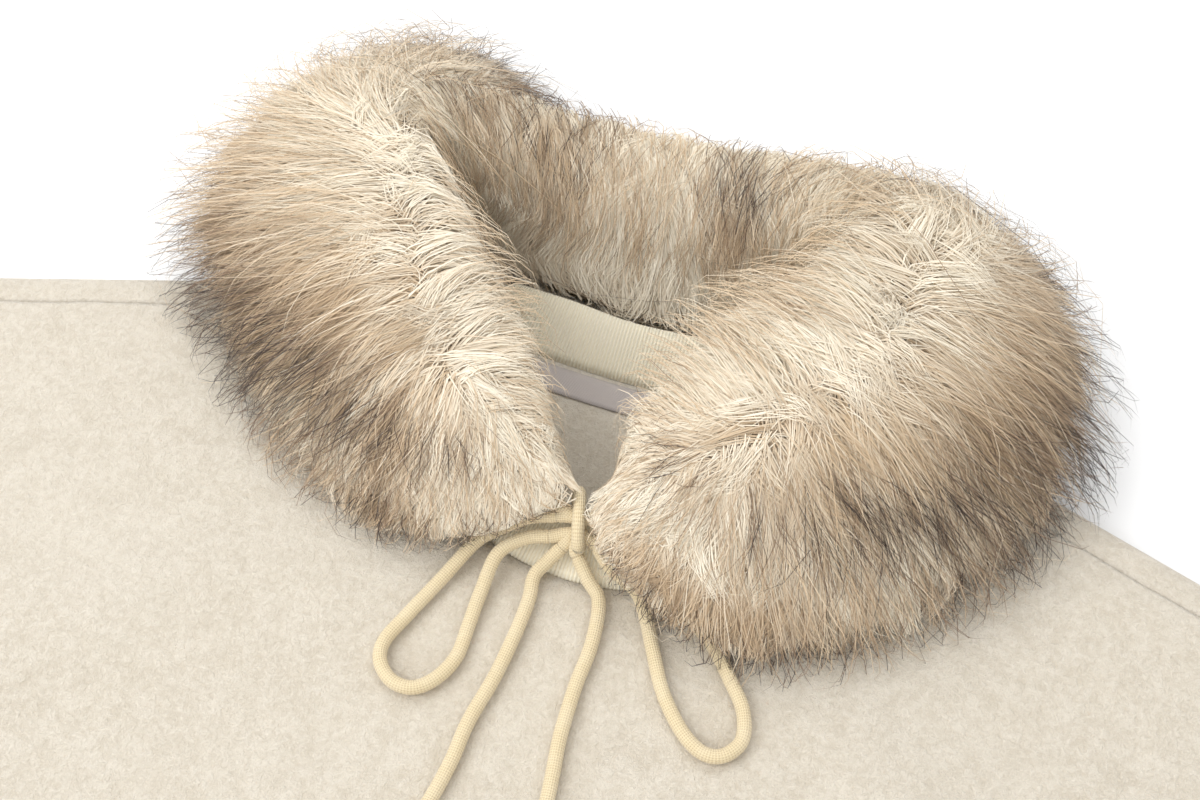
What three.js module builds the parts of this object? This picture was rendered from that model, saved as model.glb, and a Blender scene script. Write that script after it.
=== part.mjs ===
// A brushed fleece pullover with a ribbed crew neck and a fake-fur collar tied by a drawcord.
// It lies flat on a table, face up: +X to the wearer's left, +Y towards the head, +Z up, in millimetres.
// Sizes are worked out in a neck frame, whose origin lies on the table between the two neck points,
// and the whole garment is then moved so that the origin is at the middle of its footprint.

import * as THREE from "three";

// Cloth
const FLEECE = 2.4; // thickness of the fleece
const SEAM_GAP = 0.3; // between two pieces at a seam
const ARMHOLE_GAP = 0.5; // the same, measured along X
const FOLD_HEIGHT = 9.6; // how high a soft folded edge stands
const FOLD_RADIUS = FOLD_HEIGHT / 2;
const EDGE_LIFT_REACH = 42; // how far in from a folded edge the top layer stays lifted
const FLAT_TOP = 2 * FLEECE + SEAM_GAP; // outer height of two layers lying on each other
// Where the neck holds the top layer up.
const NECK_RING = { y: -35, radius: 80, stretch: 1.05, reach: 45 };

// Body, as half of a symmetric cut
const NECK_X = 92;
const FRONT_DROP = 112;
const BACK_DROP = 20;
const SHOULDER_X = 275;
const SHOULDER_SLOPE = THREE.MathUtils.degToRad(18);
const SHOULDER_Y = -(SHOULDER_X - NECK_X) * Math.tan(SHOULDER_SLOPE);
const SHOULDER_WRAP = 14; // the back comes over the shoulder fold by this much, to the shoulder seam
const UNDERARM = new THREE.Vector2(290, -300);
const HEM_X = 280;
const HEM_Y = -640;

// Sleeve
const SLEEVE_LENGTH = 500;
const SLEEVE_ANGLE = THREE.MathUtils.degToRad(-38);
const CUFF_WIDTH = 115;
const CUFF_ANGLE = THREE.MathUtils.degToRad(-124);
const SLEEVE_RINGS = 10;

// Neck rib: a folded band of rib knit
const RIB_HEIGHT = 23;
const RIB_THICKNESS = 2.6;
const RIB_RELIEF = 0.35;
const RIB_COUNT = 232;
const RIB_SAMPLES = 58; // of its plain inside, all round
const RIB_INSET = 2.2; // from the neckline's edge to the middle of the band's wall
const RIB_INWARD_BEHIND = 0.2; // how much of its lean behind the neck still points inwards

// Neck tape, a plain strip over the back neck seam
const TAPE = { length: 120, width: 12, thickness: 0.5, below: 2 };

const CLOTH_CLEARANCE = 0.8; // between the fur and what it rests on
const COLLAR_SECTIONS = 54;
const COLLAR_SIDES = 18;

// Drawcord, with its bow knot lying over the front of the rib
const CORD_RADIUS = 2.5;
const CORD_SIDES = 8;
const CORD_STEP = 10; // length of one straight facet of a cord
const CORD_CLEARANCE = 0.5; // between a cord and what it lies on
const KNOT = { x: -0.5, y: -96, z: 25.2, radius: 5.4, length: 10, turn: 19, tilt: 22 };
const END_KNOT_RADIUS = 5;

// Soft folds of the top layer: a ridge's middle, direction, half length, half width and height.
const FOLDS = [
  { x: -150, y: -150, turn: 30, long: 95, wide: 22, high: 3.2 },
  { x: -205, y: -235, turn: 42, long: 110, wide: 20, high: 4.4 },
  { x: -92, y: -262, turn: 62, long: 90, wide: 24, high: 2.6 },
  { x: 148, y: -170, turn: -38, long: 80, wide: 20, high: 3.0 },
  { x: 212, y: -262, turn: -52, long: 105, wide: 21, high: 4.6 },
  { x: 60, y: -330, turn: -74, long: 120, wide: 26, high: 2.8 },
  { x: -180, y: -430, turn: 76, long: 120, wide: 24, high: 3.8 },
  { x: 168, y: -470, turn: -80, long: 110, wide: 25, high: 3.6 },
  { x: -20, y: -520, turn: 84, long: 90, wide: 28, high: 2.4 },
  { x: -330, y: -190, turn: 58, long: 62, wide: 15, high: 5.2 },
  { x: -395, y: -240, turn: 74, long: 54, wide: 14, high: 4.6 },
  { x: -505, y: -300, turn: 66, long: 48, wide: 13, high: 3.6 },
  { x: 345, y: -205, turn: -62, long: 60, wide: 15, high: 5.0 },
  { x: 430, y: -262, turn: -76, long: 52, wide: 14, high: 4.4 },
  { x: 540, y: -330, turn: -58, long: 46, wide: 13, high: 3.4 },
];

// The fur collar from its right tied end round the back to its left one: the foot where it is tacked along
// the neck seam, the lip where its pile ends over the neck, the ridge where it folds over, how far the pile
// stands out on the outer side and by the rib, and how far the outer pile droops, in degrees.
const COLLAR = [
  { foot: [-11, -95, 29], lip: [-10, -83, 34], ridge: [-10, -86, 41], outer: 6, byRib: 4, droop: 6 },
  { foot: [-35, -108, 22], lip: [-20, -73, 38], ridge: [-30, -77, 54], outer: 12, byRib: 7, droop: 14 },
  { foot: [-64, -101, 15], lip: [-35, -53, 42], ridge: [-57, -63, 66], outer: 31, byRib: 10, droop: 18 },
  { foot: [-90, -64, 13], lip: [-55, -31, 46], ridge: [-82, -36, 75], outer: 56, byRib: 12, droop: 16 },
  { foot: [-102, -18, 13], lip: [-74, -8, 50], ridge: [-100, -2, 79], outer: 84, byRib: 13, droop: 12 },
  { foot: [-98, 16, 9], lip: [-90, 15, 52], ridge: [-116, 38, 77], outer: 86, byRib: 13, droop: 16 },
  { foot: [-58, 7, 5], lip: [-56, 18, 44], ridge: [-72, 50, 69], outer: 42, byRib: 13, droop: 38 },
  { foot: [0, 1, 5], lip: [-4, 20, 42], ridge: [-4, 57, 62], outer: 26, byRib: 13, droop: 52 },
  { foot: [58, 7, 5], lip: [38, 18, 44], ridge: [50, 57, 69], outer: 30, byRib: 13, droop: 38 },
  { foot: [98, 16, 9], lip: [54, 12, 52], ridge: [84, 40, 77], outer: 58, byRib: 13, droop: 18 },
  { foot: [102, -18, 13], lip: [37, -8, 50], ridge: [86, -4, 79], outer: 61, byRib: 13, droop: 12 },
  { foot: [90, -64, 13], lip: [27, -27, 48], ridge: [74, -36, 75], outer: 52, byRib: 12, droop: 16 },
  { foot: [64, -101, 15], lip: [14, -48, 44], ridge: [48, -64, 66], outer: 37, byRib: 10, droop: 18 },
  { foot: [32, -108, 23], lip: [6, -67, 38], ridge: [23, -76, 55], outer: 19, byRib: 7, droop: 14 },
  { foot: [11, -97, 28], lip: [8, -83, 34], ridge: [9, -86, 41], outer: 9, byRib: 4, droop: 10 },
];
const OVER_RISE = [0.26, 0.46]; // shares of the strip's height between which the pile leaves the rib for the lip
const OVER_RIB = 22.5; // and there it stays over the rib's top edge
// How far past the shoulder line the fur comes down to the table, beside the neck and behind it.
const BEHIND = { from: 8, fromNeck: -8, over: 16, narrow: 60 };
// Lifts the fur off the cords under it.
const CORD_ROOM = { x: 27, y: -112, width: 30, depth: 26, height: 6.5 };

// Routes of the drawcord from the knot: a place in plan and how much higher it is than where it would lie.
const CORDS = {
  cord_loop_right: [
    [-7, -96, 12.4], [-17.5, -99.2, 10.8], [-27, -104.8, 6.2], [-34, -111, 3], [-41, -127.5, 0.4],
    [-47.5, -144, 0], [-51, -154.5, 0], [-49.5, -162, 0], [-43, -167.5, 0], [-35.2, -167.6, 0],
    [-29, -162, 0], [-25.2, -152.5, 0], [-25.4, -140.5, 0], [-25.8, -127.5, 0.6], [-24.5, -113.5, 4.6],
    [-16.8, -105.4, 6.4], [-7.4, -102, 7.4],
  ],
  cord_loop_left: [
    [7.2, -100.8, 8.4], [14, -106, 5.6], [21, -109, 4], [26.5, -111.5, 2], [31.5, -118, 0.6],
    [38, -129.5, 0], [45.8, -142.5, 0], [55.6, -153, 0], [64, -157.8, 0], [71, -156.8, 0],
    [75.6, -149.6, 0], [73, -139.6, 0], [65.8, -130.6, 0], [56.4, -120.4, 0], [45, -112.5, 0.4],
    [31, -104.5, 3.4], [18, -98.5, 7.2], [6.8, -94, 12.4],
  ],
  cord_tail_right: [
    [-3.2, -103.6, 6.6], [-7.4, -109.8, 2.6], [-10.2, -116, 0.8], [-9, -125, 0], [-9, -139, 0],
    [-10.2, -155.5, 0], [-12.8, -172.5, 0], [-13.2, -188, 0], [-15, -204, 0.4], [-19, -222, 1.2],
    [-25, -241, 1.6], [-31, -260, 1.6], [-35, -278, 1.6],
  ],
  cord_tail_left: [
    [1.6, -105.2, 6], [8.2, -111.8, 2], [14.4, -118, 0.4], [17.2, -133.5, 0], [17, -149.5, 0],
    [18, -167.5, 0], [20.2, -181.5, 0], [21.6, -192, 0], [22.4, -207, 0], [21, -225, 0],
    [17, -243, 0], [13.5, -262, 0], [14, -281, 0],
  ],
};

const vec2 = (x, y) => new THREE.Vector2(x, y);
const vec3 = (x, y, z) => new THREE.Vector3(x, y, z);
const clamp = THREE.MathUtils.clamp;

// Plan outline of the right half: the shoulder, the sleeve's two edges and the side.
const NECK_POINT = vec2(NECK_X, 0);
const SHOULDER_POINT = vec2(SHOULDER_X, SHOULDER_Y);
const CUFF_TOP = vec2(
  SHOULDER_X + SLEEVE_LENGTH * Math.cos(SLEEVE_ANGLE),
  SHOULDER_Y + SLEEVE_LENGTH * Math.sin(SLEEVE_ANGLE),
);
const CUFF_UNDER = vec2(
  CUFF_TOP.x + CUFF_WIDTH * Math.cos(CUFF_ANGLE),
  CUFF_TOP.y + CUFF_WIDTH * Math.sin(CUFF_ANGLE),
);
const OUTLINE = [
  [NECK_POINT, SHOULDER_POINT],
  [SHOULDER_POINT, CUFF_TOP],
  [CUFF_UNDER, UNDERARM],
  [UNDERARM, vec2(HEM_X, HEM_Y)],
];
const ARMHOLE = new THREE.QuadraticBezierCurve(UNDERARM, vec2(270, -175), SHOULDER_POINT);
const ARMHOLE_LENGTH = ARMHOLE.getLength();

// Distance of a plan point from the folded edges, alike on both halves.
function edgeDistance(x, y) {
  const point = vec2(Math.abs(x), y);
  const distances = OUTLINE.map(([a, b]) => {
    const along = b.clone().sub(a);
    const share = clamp(point.clone().sub(a).dot(along) / along.lengthSq(), 0, 1);
    return point.distanceTo(a.clone().addScaledVector(along, share));
  });
  return Math.min(...distances);
}

// Outer height of the top layer: two layers on each other, with soft folds, lifted at folded edges and the neck.
function topHeight(x, y) {
  const inside = Math.max(edgeDistance(x, y) - FOLD_RADIUS, 0);
  const edge = Math.exp(-((inside / EDGE_LIFT_REACH) ** 2));
  const fromNeck = Math.hypot(x / NECK_RING.stretch, y - NECK_RING.y) - NECK_RING.radius;
  const neck = Math.exp(-((fromNeck / NECK_RING.reach) ** 2));
  const lift = (FOLD_HEIGHT - FLAT_TOP) * Math.max(edge, neck);
  const folds = FOLDS.reduce((sum, fold) => {
    const turn = THREE.MathUtils.degToRad(fold.turn);
    const along = (x - fold.x) * Math.cos(turn) + (y - fold.y) * Math.sin(turn);
    const across = (y - fold.y) * Math.cos(turn) - (x - fold.x) * Math.sin(turn);
    return sum + fold.high * Math.exp(-((along / fold.long) ** 2) - (across / fold.wide) ** 2);
  }, 0);
  const held = Math.max(edge, neck); // folds fade out where the cloth is held up by an edge or the neck
  return FLAT_TOP + lift + folds * (1 - held);
}

// A sheet is a surface with an outside and an inside place for each point.
function gridSheet(rows, closed = false) {
  const width = rows[0].length;
  const faces = [];
  const steps = closed ? width : width - 1;
  for (let i = 0; i + 1 < rows.length; i++) {
    for (let j = 0; j < steps; j++) {
      const next = (j + 1) % width;
      const [a, b] = [i * width + j, i * width + next];
      const [c, d] = [a + width, b + width];
      faces.push([a, b, d], [a, d, c]);
    }
  }
  return { points: rows.flat(), faces };
}

const mirrorPoint = ({ outside, inside }) => ({
  outside: vec3(-outside.x, outside.y, outside.z),
  inside: vec3(-inside.x, inside.y, inside.z),
});

function mirroredSheet({ points, faces }) {
  return { points: points.map(mirrorPoint), faces: faces.map(([a, b, c]) => [a, c, b]) };
}

// Joins sheets into one, with points that share a place merged.
function joinSheets(...sheets) {
  const seen = new Map();
  const points = [];
  const faces = [];
  for (const sheet of sheets) {
    const index = sheet.points.map((point) => {
      const key = [...point.outside, ...point.inside].map((n) => Math.round(n * 1e3)).join();
      if (!seen.has(key)) seen.set(key, points.push(point) - 1);
      return seen.get(key);
    });
    faces.push(...sheet.faces.map((face) => face.map((i) => index[i])));
  }
  return { points, faces };
}

// A closed geometry from triangles over a list of places, with its faces turned outwards.
function closedGeometry(places, triangles) {
  const volume = triangles.reduce((sum, [a, b, c]) => {
    return sum + places[a].dot(vec3().crossVectors(places[b], places[c]));
  }, 0);
  const turned = volume < 0 ? triangles.map(([a, b, c]) => [a, c, b]) : triangles;
  const geometry = new THREE.BufferGeometry().setFromPoints(places);
  geometry.setIndex(turned.flat());
  return geometry;
}

// The wall between a sheet's outside and inside, closed along its free edges.
function wallGeometry({ points, faces }) {
  const count = points.length;
  const places = [...points.map((p) => p.outside), ...points.map((p) => p.inside)];
  const edges = new Set(faces.flatMap(([a, b, c]) => [`${a},${b}`, `${b},${c}`, `${c},${a}`]));
  const rim = [...edges]
    .map((edge) => edge.split(",").map(Number))
    .filter(([a, b]) => !edges.has(`${b},${a}`))
    .flatMap(([a, b]) => [[b, a, a + count], [b, a + count, b + count]]);
  const inner = faces.map(([a, b, c]) => [a + count, c + count, b + count]);
  return closedGeometry(places, [...faces, ...inner, ...rim]);
}

// A folded edge's profile at an angle from -90, flat on the table, to 90, flat on top.
function foldProfile(degrees) {
  const angle = THREE.MathUtils.degToRad(degrees);
  const at = (radius) => ({
    inset: FOLD_RADIUS - radius * Math.cos(angle),
    height: FOLD_RADIUS + radius * Math.sin(angle),
  });
  return { outside: at(FOLD_RADIUS), inside: at(FOLD_RADIUS - FLEECE) };
}

const SIDE_SEAM_ANGLE = THREE.MathUtils.radToDeg(Math.asin(SEAM_GAP / 2 / (FOLD_RADIUS - FLEECE)));
const spread = (count, from, to) =>
  Array.from({ length: count + 1 }, (_, i) => THREE.MathUtils.lerp(from, to, i / count));

// Places down the armhole, by their distance from the shoulder point.
const armholeFromShoulder = (distance) => ARMHOLE.getPointAt(clamp(1 - distance / ARMHOLE_LENGTH, 0, 1));
// Where the neckline is this far from the shoulder fold: it runs straight in there.
const neckEnd = (inset) => vec2(NECK_X, -inset / Math.cos(SHOULDER_SLOPE));

// Inner and outer plan ends of a panel's rows, from the hem to its shoulder edge, inset from the fold.
function panelRows({ centreDrop, inset, centreSteps, neckSteps, sideSteps }) {
  const neckStart = neckEnd(inset);
  const inner = spread(centreSteps, HEM_Y, -centreDrop).map((y) => vec2(0, y));
  for (const quarter of spread(neckSteps, 0, 1).slice(1)) {
    const angle = (quarter * Math.PI) / 2;
    const rise = (centreDrop + neckStart.y) * (1 - Math.cos(angle));
    inner.push(vec2(neckStart.x * Math.sin(angle), -centreDrop + rise));
  }
  const side = spread(sideSteps, 0, 1).map((share) => vec2(HEM_X, HEM_Y).lerp(UNDERARM, share));
  const armholeSteps = inner.length - side.length;
  const underarmEnd = ARMHOLE_LENGTH - 2 * FOLD_RADIUS;
  const armhole = spread(armholeSteps - 1, underarmEnd, inset).map(armholeFromShoulder);
  const outer = [...side, ...armhole];
  return inner.map((start, i) => ({ start, end: outer[i], sideSeam: i <= sideSteps }));
}

// One half of a panel. layer gives outside and inside heights at a plan place; edgeAngles is the part of
// the side fold that belongs to this panel.
function halfPanel(rows, columns, layer, edgeAngles) {
  return rows.map(({ start, end, sideSeam }) => {
    const width = end.clone().sub(start);
    const shareAt = (inset) => 1 - inset / width.length();
    const across = spread(columns, 0, shareAt(FOLD_RADIUS)).map((share) => {
      const place = start.clone().addScaledVector(width, share);
      return layer(place.x, place.y);
    });
    const edge = edgeAngles.map((degrees, k) => {
      const profile = foldProfile(degrees);
      const flat = FOLD_RADIUS * (1 - (k + 1) / edgeAngles.length);
      const at = ({ inset, height }, side) => {
        const place = start.clone().addScaledVector(width, shareAt(sideSeam ? inset : flat));
        return vec3(place.x, place.y, sideSeam ? height : layer(place.x, place.y)[side].z);
      };
      return { outside: at(profile.outside, "outside"), inside: at(profile.inside, "inside") };
    });
    return [...across, ...edge];
  });
}

const lowerLayer = (x, y) => ({ outside: vec3(x, y, 0), inside: vec3(x, y, FLEECE) });
const upperLayer = (x, y) => {
  const height = topHeight(x, y);
  return { outside: vec3(x, y, height), inside: vec3(x, y, height - FLEECE) };
};

// The back: its lower layer, then over the shoulder fold to the seam that lies on the front.
function backPanel() {
  const rows = panelRows({
    centreDrop: BACK_DROP,
    inset: FOLD_RADIUS,
    centreSteps: 10,
    neckSteps: 4,
    sideSteps: 8,
  });
  const half = halfPanel(rows, 7, lowerLayer, [-45, -SIDE_SEAM_ANGLE]);
  const last = half.at(-1).map(({ outside }) => outside);
  const shares = last.map((place) => place.distanceTo(last[0]) / last.at(-1).distanceTo(last[0]));
  const alongShoulder = (inset, share) => neckEnd(inset).lerp(armholeFromShoulder(inset), share);
  const fold = [-45, 0, 45, 90].map((degrees) => {
    const profile = foldProfile(degrees);
    const at = ({ inset, height }, share) => {
      const place = alongShoulder(inset, share);
      return vec3(place.x, place.y, height);
    };
    return shares.map((share) => ({
      outside: at(profile.outside, share),
      inside: at(profile.inside, share),
    }));
  });
  const wrap = [(FOLD_RADIUS + SHOULDER_WRAP) / 2, SHOULDER_WRAP].map((inset) =>
    shares.map((share) => {
      const place = alongShoulder(inset, share);
      return upperLayer(place.x, place.y);
    }),
  );
  const sheet = gridSheet([...half, ...fold, ...wrap]);
  return wallGeometry(joinSheets(sheet, mirroredSheet(sheet)));
}

// The front lies on the back, from the hem to the shoulder seam.
function frontPanel() {
  const rows = panelRows({
    centreDrop: FRONT_DROP,
    inset: SHOULDER_WRAP + SEAM_GAP,
    centreSteps: 14,
    neckSteps: 7,
    sideSteps: 12,
  });
  const half = halfPanel(rows, 10, upperLayer, [45, SIDE_SEAM_ANGLE]);
  const sheet = gridSheet(half);
  return wallGeometry(joinSheets(sheet, mirroredSheet(sheet)));
}

// A sleeve is a flattened tube: rings from the armhole to the open cuff.
function sleeve() {
  const acrossSteps = 6;
  const rings = spread(SLEEVE_RINGS, 0, 1).map((down) => {
    const under = UNDERARM.clone().lerp(CUFF_UNDER, down);
    const top = SHOULDER_POINT.clone().lerp(CUFF_TOP, down);
    const length = under.distanceTo(top);
    const planAt = (inset) => {
      const share = clamp(inset / length, 0, 1);
      const seam = ARMHOLE.getPointAt(share).addScaledVector(vec2(1, 0), ARMHOLE_GAP);
      const bow = seam.sub(UNDERARM.clone().lerp(SHOULDER_POINT, share));
      const straight = under.clone().lerp(top, share).addScaledVector(vec2(1, 0), ARMHOLE_GAP * down);
      return straight.addScaledVector(bow, (1 - down) ** 2);
    };
    const flat = spread(acrossSteps, FOLD_RADIUS, length - FOLD_RADIUS);
    const lower = flat.map((inset) => lowerLayer(planAt(inset).x, planAt(inset).y));
    const upper = flat.map((inset) => upperLayer(planAt(inset).x, planAt(inset).y)).reverse();
    const fold = (angles, fromTop) =>
      angles.map((degrees) => {
        const profile = foldProfile(degrees);
        const at = ({ inset, height }) => {
          const place = planAt(fromTop ? length - inset : inset);
          return vec3(place.x, place.y, height);
        };
        return { outside: at(profile.outside), inside: at(profile.inside) };
      });
    return [...lower, ...fold([-45, 0, 45], true), ...upper, ...fold([45, 0, -45], false)];
  });
  return gridSheet(rings, true);
}

// The foot of the neck rib by an angle from the middle of the front: just inside the neckline, on the top
// layer in front, round the shoulder fold at the sides and on the lower layer behind.
function neckSeam(angle) {
  const side = Math.sin(angle);
  const front = Math.max(Math.cos(angle), 0);
  const back = Math.max(-Math.cos(angle), 0);
  const degrees = THREE.MathUtils.radToDeg(Math.acos(Math.cos(angle)));
  const over = THREE.MathUtils.smoothstep(degrees, 82, 112);
  const edgeY = THREE.MathUtils.lerp(neckEnd(SHOULDER_WRAP).y, neckEnd(FOLD_RADIUS).y, over);
  const y = edgeY - front * (FRONT_DROP + edgeY - RIB_INSET) - back * (BACK_DROP + edgeY - RIB_INSET);
  const height = THREE.MathUtils.lerp(FOLD_HEIGHT - FLEECE / 2, RIB_THICKNESS / 2 + 0.5, over);
  return vec3((NECK_X - RIB_INSET) * side, y, height);
}

// The rib's soft top edge: the band leans in over the opening in front and at the sides, and back behind.
function ribEdge(angle) {
  const rise = THREE.MathUtils.lerp(0.47, 0.62, (1 - Math.cos(angle)) / 2);
  const inward = THREE.MathUtils.lerp(1, RIB_INWARD_BEHIND, Math.max(-Math.cos(angle), 0));
  const lean = vec2(-Math.sin(angle) * inward, Math.abs(Math.cos(angle))).setLength(Math.sqrt(1 - rise ** 2));
  return neckSeam(angle).addScaledVector(vec3(lean.x, lean.y, rise), RIB_HEIGHT);
}

// The same way round the neck, by equal lengths of seam.
const neckline = new THREE.Curve();
neckline.getPoint = (share) => neckSeam(2 * Math.PI * share);
const neckAngle = (share) => 2 * Math.PI * neckline.getUtoTmapping(share);

// The rib band from the seam to its soft top edge: ribs raised on its outer face, over a plain inner one.
function neckRib() {
  const wallPoint = (angle, level, offset) => {
    const step = 0.01;
    const foot = neckSeam(angle);
    const edge = ribEdge(angle);
    const tangent = neckSeam(angle + step).sub(neckSeam(angle - step));
    const outward = vec3().crossVectors(tangent, edge.clone().sub(foot)).normalize();
    return foot.lerp(edge, level).addScaledVector(outward, offset);
  };
  const ring = (count, level, offsetAt) =>
    Array.from({ length: count }, (_, i) => wallPoint(neckAngle(i / count), level, offsetAt(i)));
  const ribbed = (i) => RIB_THICKNESS / 2 + (i % 2 ? RIB_RELIEF : -RIB_RELIEF);
  const plain = () => -RIB_THICKNESS / 2;
  const outerCount = 2 * RIB_COUNT;
  const innerBase = 2 * outerCount;
  const places = [
    ...ring(outerCount, 0, ribbed),
    ...ring(outerCount, 1, ribbed),
    ...ring(RIB_SAMPLES, 0, plain),
    ...ring(RIB_SAMPLES, 1, plain),
  ];
  const flipped = (faces) => faces.map(([p, q, r]) => [p, r, q]);

  const band = (count, base) =>
    Array.from({ length: count }, (_, i) => {
      const [a, b] = [base + i, base + ((i + 1) % count)];
      return [[a, b, b + count], [a, b + count, a + count]];
    }).flat();

  // A rim joins the many outer points of a level to its few inner ones.
  const each = outerCount / RIB_SAMPLES;
  const rim = (level) =>
    Array.from({ length: RIB_SAMPLES }, (_, i) => {
      const inner = innerBase + level * RIB_SAMPLES;
      const [near, far] = [inner + i, inner + ((i + 1) % RIB_SAMPLES)];
      const outer = spread(each, 0, each).map((k) => level * outerCount + ((i * each + k) % outerCount));
      const fan = outer.slice(0, -1).map((place, k) => [place, k < each / 2 ? near : far, outer[k + 1]]);
      return [...fan, [outer[each / 2], near, far]];
    }).flat();

  const turnedIn = flipped([...band(RIB_SAMPLES, innerBase), ...rim(1)]);
  return closedGeometry(places, [...band(outerCount, 0), ...rim(0), ...turnedIn]);
}

// The neck tape lies on the back's inner face, just below the seam, and follows its curve.
function neckTape() {
  const rows = spread(10, -TAPE.length / 2, TAPE.length / 2).map((x) => {
    const seam = neckSeam(Math.PI - Math.asin(x / NECK_X)).y - RIB_INSET - TAPE.below;
    const point = (y) => ({
      outside: vec3(x, y, FLEECE + SEAM_GAP + TAPE.thickness),
      inside: vec3(x, y, FLEECE + SEAM_GAP),
    });
    return [point(seam), point(seam - TAPE.width)];
  });
  return wallGeometry(gridSheet(rows));
}

// A smooth course through the collar's rows, by a share from one tied end to the other.
const collarCourse = (pick) => {
  const course = new THREE.CatmullRomCurve3(COLLAR.map((row) => vec3(...pick(row))), false, "catmullrom");
  return (share) => course.getPoint(clamp(share, 0, 1));
};
const collarFoot = collarCourse((row) => row.foot);
const collarLip = collarCourse((row) => row.lip);
const collarRidge = collarCourse((row) => row.ridge);
const collarPile = collarCourse((row) => [row.outer, row.byRib, row.droop]);

// Lowest height of the fur over a plan place: it rests on the garment or its cords, and behind on the table.
function underFur(x, y) {
  const pastNeck = Math.max(Math.abs(x) - NECK_X, 0);
  const outside = pastNeck * Math.sin(SHOULDER_SLOPE) + y * Math.cos(SHOULDER_SLOPE);
  const across = (Math.abs(x) - CORD_ROOM.x) / CORD_ROOM.width;
  const down = (y - CORD_ROOM.y) / CORD_ROOM.depth;
  const overCords = CORD_ROOM.height * Math.exp(-(across ** 2) - down ** 2);
  const onGarment = topHeight(x, y) + CLOTH_CLEARANCE + overCords;
  const besideNeck = THREE.MathUtils.smoothstep(Math.abs(x), BEHIND.narrow, NECK_X);
  const from = THREE.MathUtils.lerp(BEHIND.fromNeck, BEHIND.from, besideNeck);
  return THREE.MathUtils.lerp(onGarment, 0, clamp((outside - from) / BEHIND.over, 0, 1));
}

// One loop round the fur at a share of the collar's length, standing out to the tips of the pile.
function collarLoop(share) {
  const step = 0.004;
  const foot = collarFoot(share);
  const up = collarRidge(share).sub(foot);
  const toLip = collarLip(share).sub(foot).addScaledVector(up, -0.5);
  const { x: outer, y: byRib, z: droopDegrees } = collarPile(share);
  const along = collarFoot(share + step).sub(collarFoot(share - step));
  const level = vec3(along.y, -along.x, 0).normalize().negate();
  const square = level.clone().addScaledVector(up, -level.dot(up) / up.lengthSq()).normalize();
  const droop = THREE.MathUtils.degToRad(droopDegrees);
  const drooped = vec3(level.x * Math.cos(droop), level.y * Math.cos(droop), -Math.sin(droop));
  return Array.from({ length: COLLAR_SIDES }, (_, i) => {
    const angle = (2 * Math.PI * i) / COLLAR_SIDES;
    const rise = (1 - Math.cos(angle)) / 2;
    const side = Math.sin(angle);
    const place = foot.clone().addScaledVector(up, rise);
    if (side > 0) place.addScaledVector(drooped, outer * side * (1.25 - 0.5 * rise));
    else {
      const overNeck = THREE.MathUtils.smoothstep(rise, ...OVER_RISE);
      const thin = byRib * Math.min(1, 4 * rise) * (1 - overNeck);
      place.addScaledVector(square, side * thin).addScaledVector(toLip, -side * overNeck);
      if (rise > OVER_RISE[0]) place.z = Math.max(place.z, OVER_RIB);
    }
    place.z = Math.max(place.z, underFur(place.x, place.y));
    return place;
  });
}

function furCollar() {
  const loops = spread(COLLAR_SECTIONS, 0, 1).map(collarLoop);
  const places = loops.flat();
  const faces = [];
  for (let i = 0; i < COLLAR_SECTIONS; i++) {
    for (let j = 0; j < COLLAR_SIDES; j++) {
      const [a, b] = [i * COLLAR_SIDES + j, i * COLLAR_SIDES + ((j + 1) % COLLAR_SIDES)];
      faces.push([a, b, b + COLLAR_SIDES], [a, b + COLLAR_SIDES, a + COLLAR_SIDES]);
    }
  }
  const cap = (section) => {
    const base = section * COLLAR_SIDES;
    const middle = loops[section].reduce((sum, place) => sum.add(place), vec3()).divideScalar(COLLAR_SIDES);
    const centre = places.push(middle) - 1;
    for (let j = 0; j < COLLAR_SIDES; j++) {
      const [a, b] = [base + j, base + ((j + 1) % COLLAR_SIDES)];
      faces.push(section === 0 ? [b, a, centre] : [a, b, centre]);
    }
  };
  cap(0);
  cap(COLLAR_SECTIONS);
  return closedGeometry(places, faces);
}

// A free cord is a plain tube through its route's points.
function cord(route) {
  const points = route.map(([x, y, lift]) => {
    return vec3(x, y, topHeight(x, y) + CORD_CLEARANCE + CORD_RADIUS + lift);
  });
  const path = new THREE.CatmullRomCurve3(points, false, "centripetal");
  const section = new THREE.Shape();
  for (let i = 0; i < CORD_SIDES; i++) {
    const angle = (2 * Math.PI * (i + 0.5)) / CORD_SIDES;
    section[i ? "lineTo" : "moveTo"](CORD_RADIUS * Math.cos(angle), CORD_RADIUS * Math.sin(angle));
  }
  const steps = Math.round(path.getLength() / CORD_STEP);
  return new THREE.ExtrudeGeometry(section, { steps, bevelEnabled: false, extrudePath: path });
}

const finishes = {
  fleece: { color: 0xe9dfcd, roughness: 0.95 },
  rib: { color: 0xe8ddc0, roughness: 0.9 },
  fur: { color: 0xd2c1a6, roughness: 0.85 },
  cord: { color: 0xe9d9b4, roughness: 0.7 },
  tape: { color: 0xb3a7a6, roughness: 0.55 },
};

const pullover = new THREE.Group();

function addPiece(name, geometry, finish) {
  const material = new THREE.MeshStandardMaterial({ ...finishes[finish], metalness: 0 });
  const piece = new THREE.Mesh(geometry, material);
  piece.name = name;
  pullover.add(piece);
  return piece;
}

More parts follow.
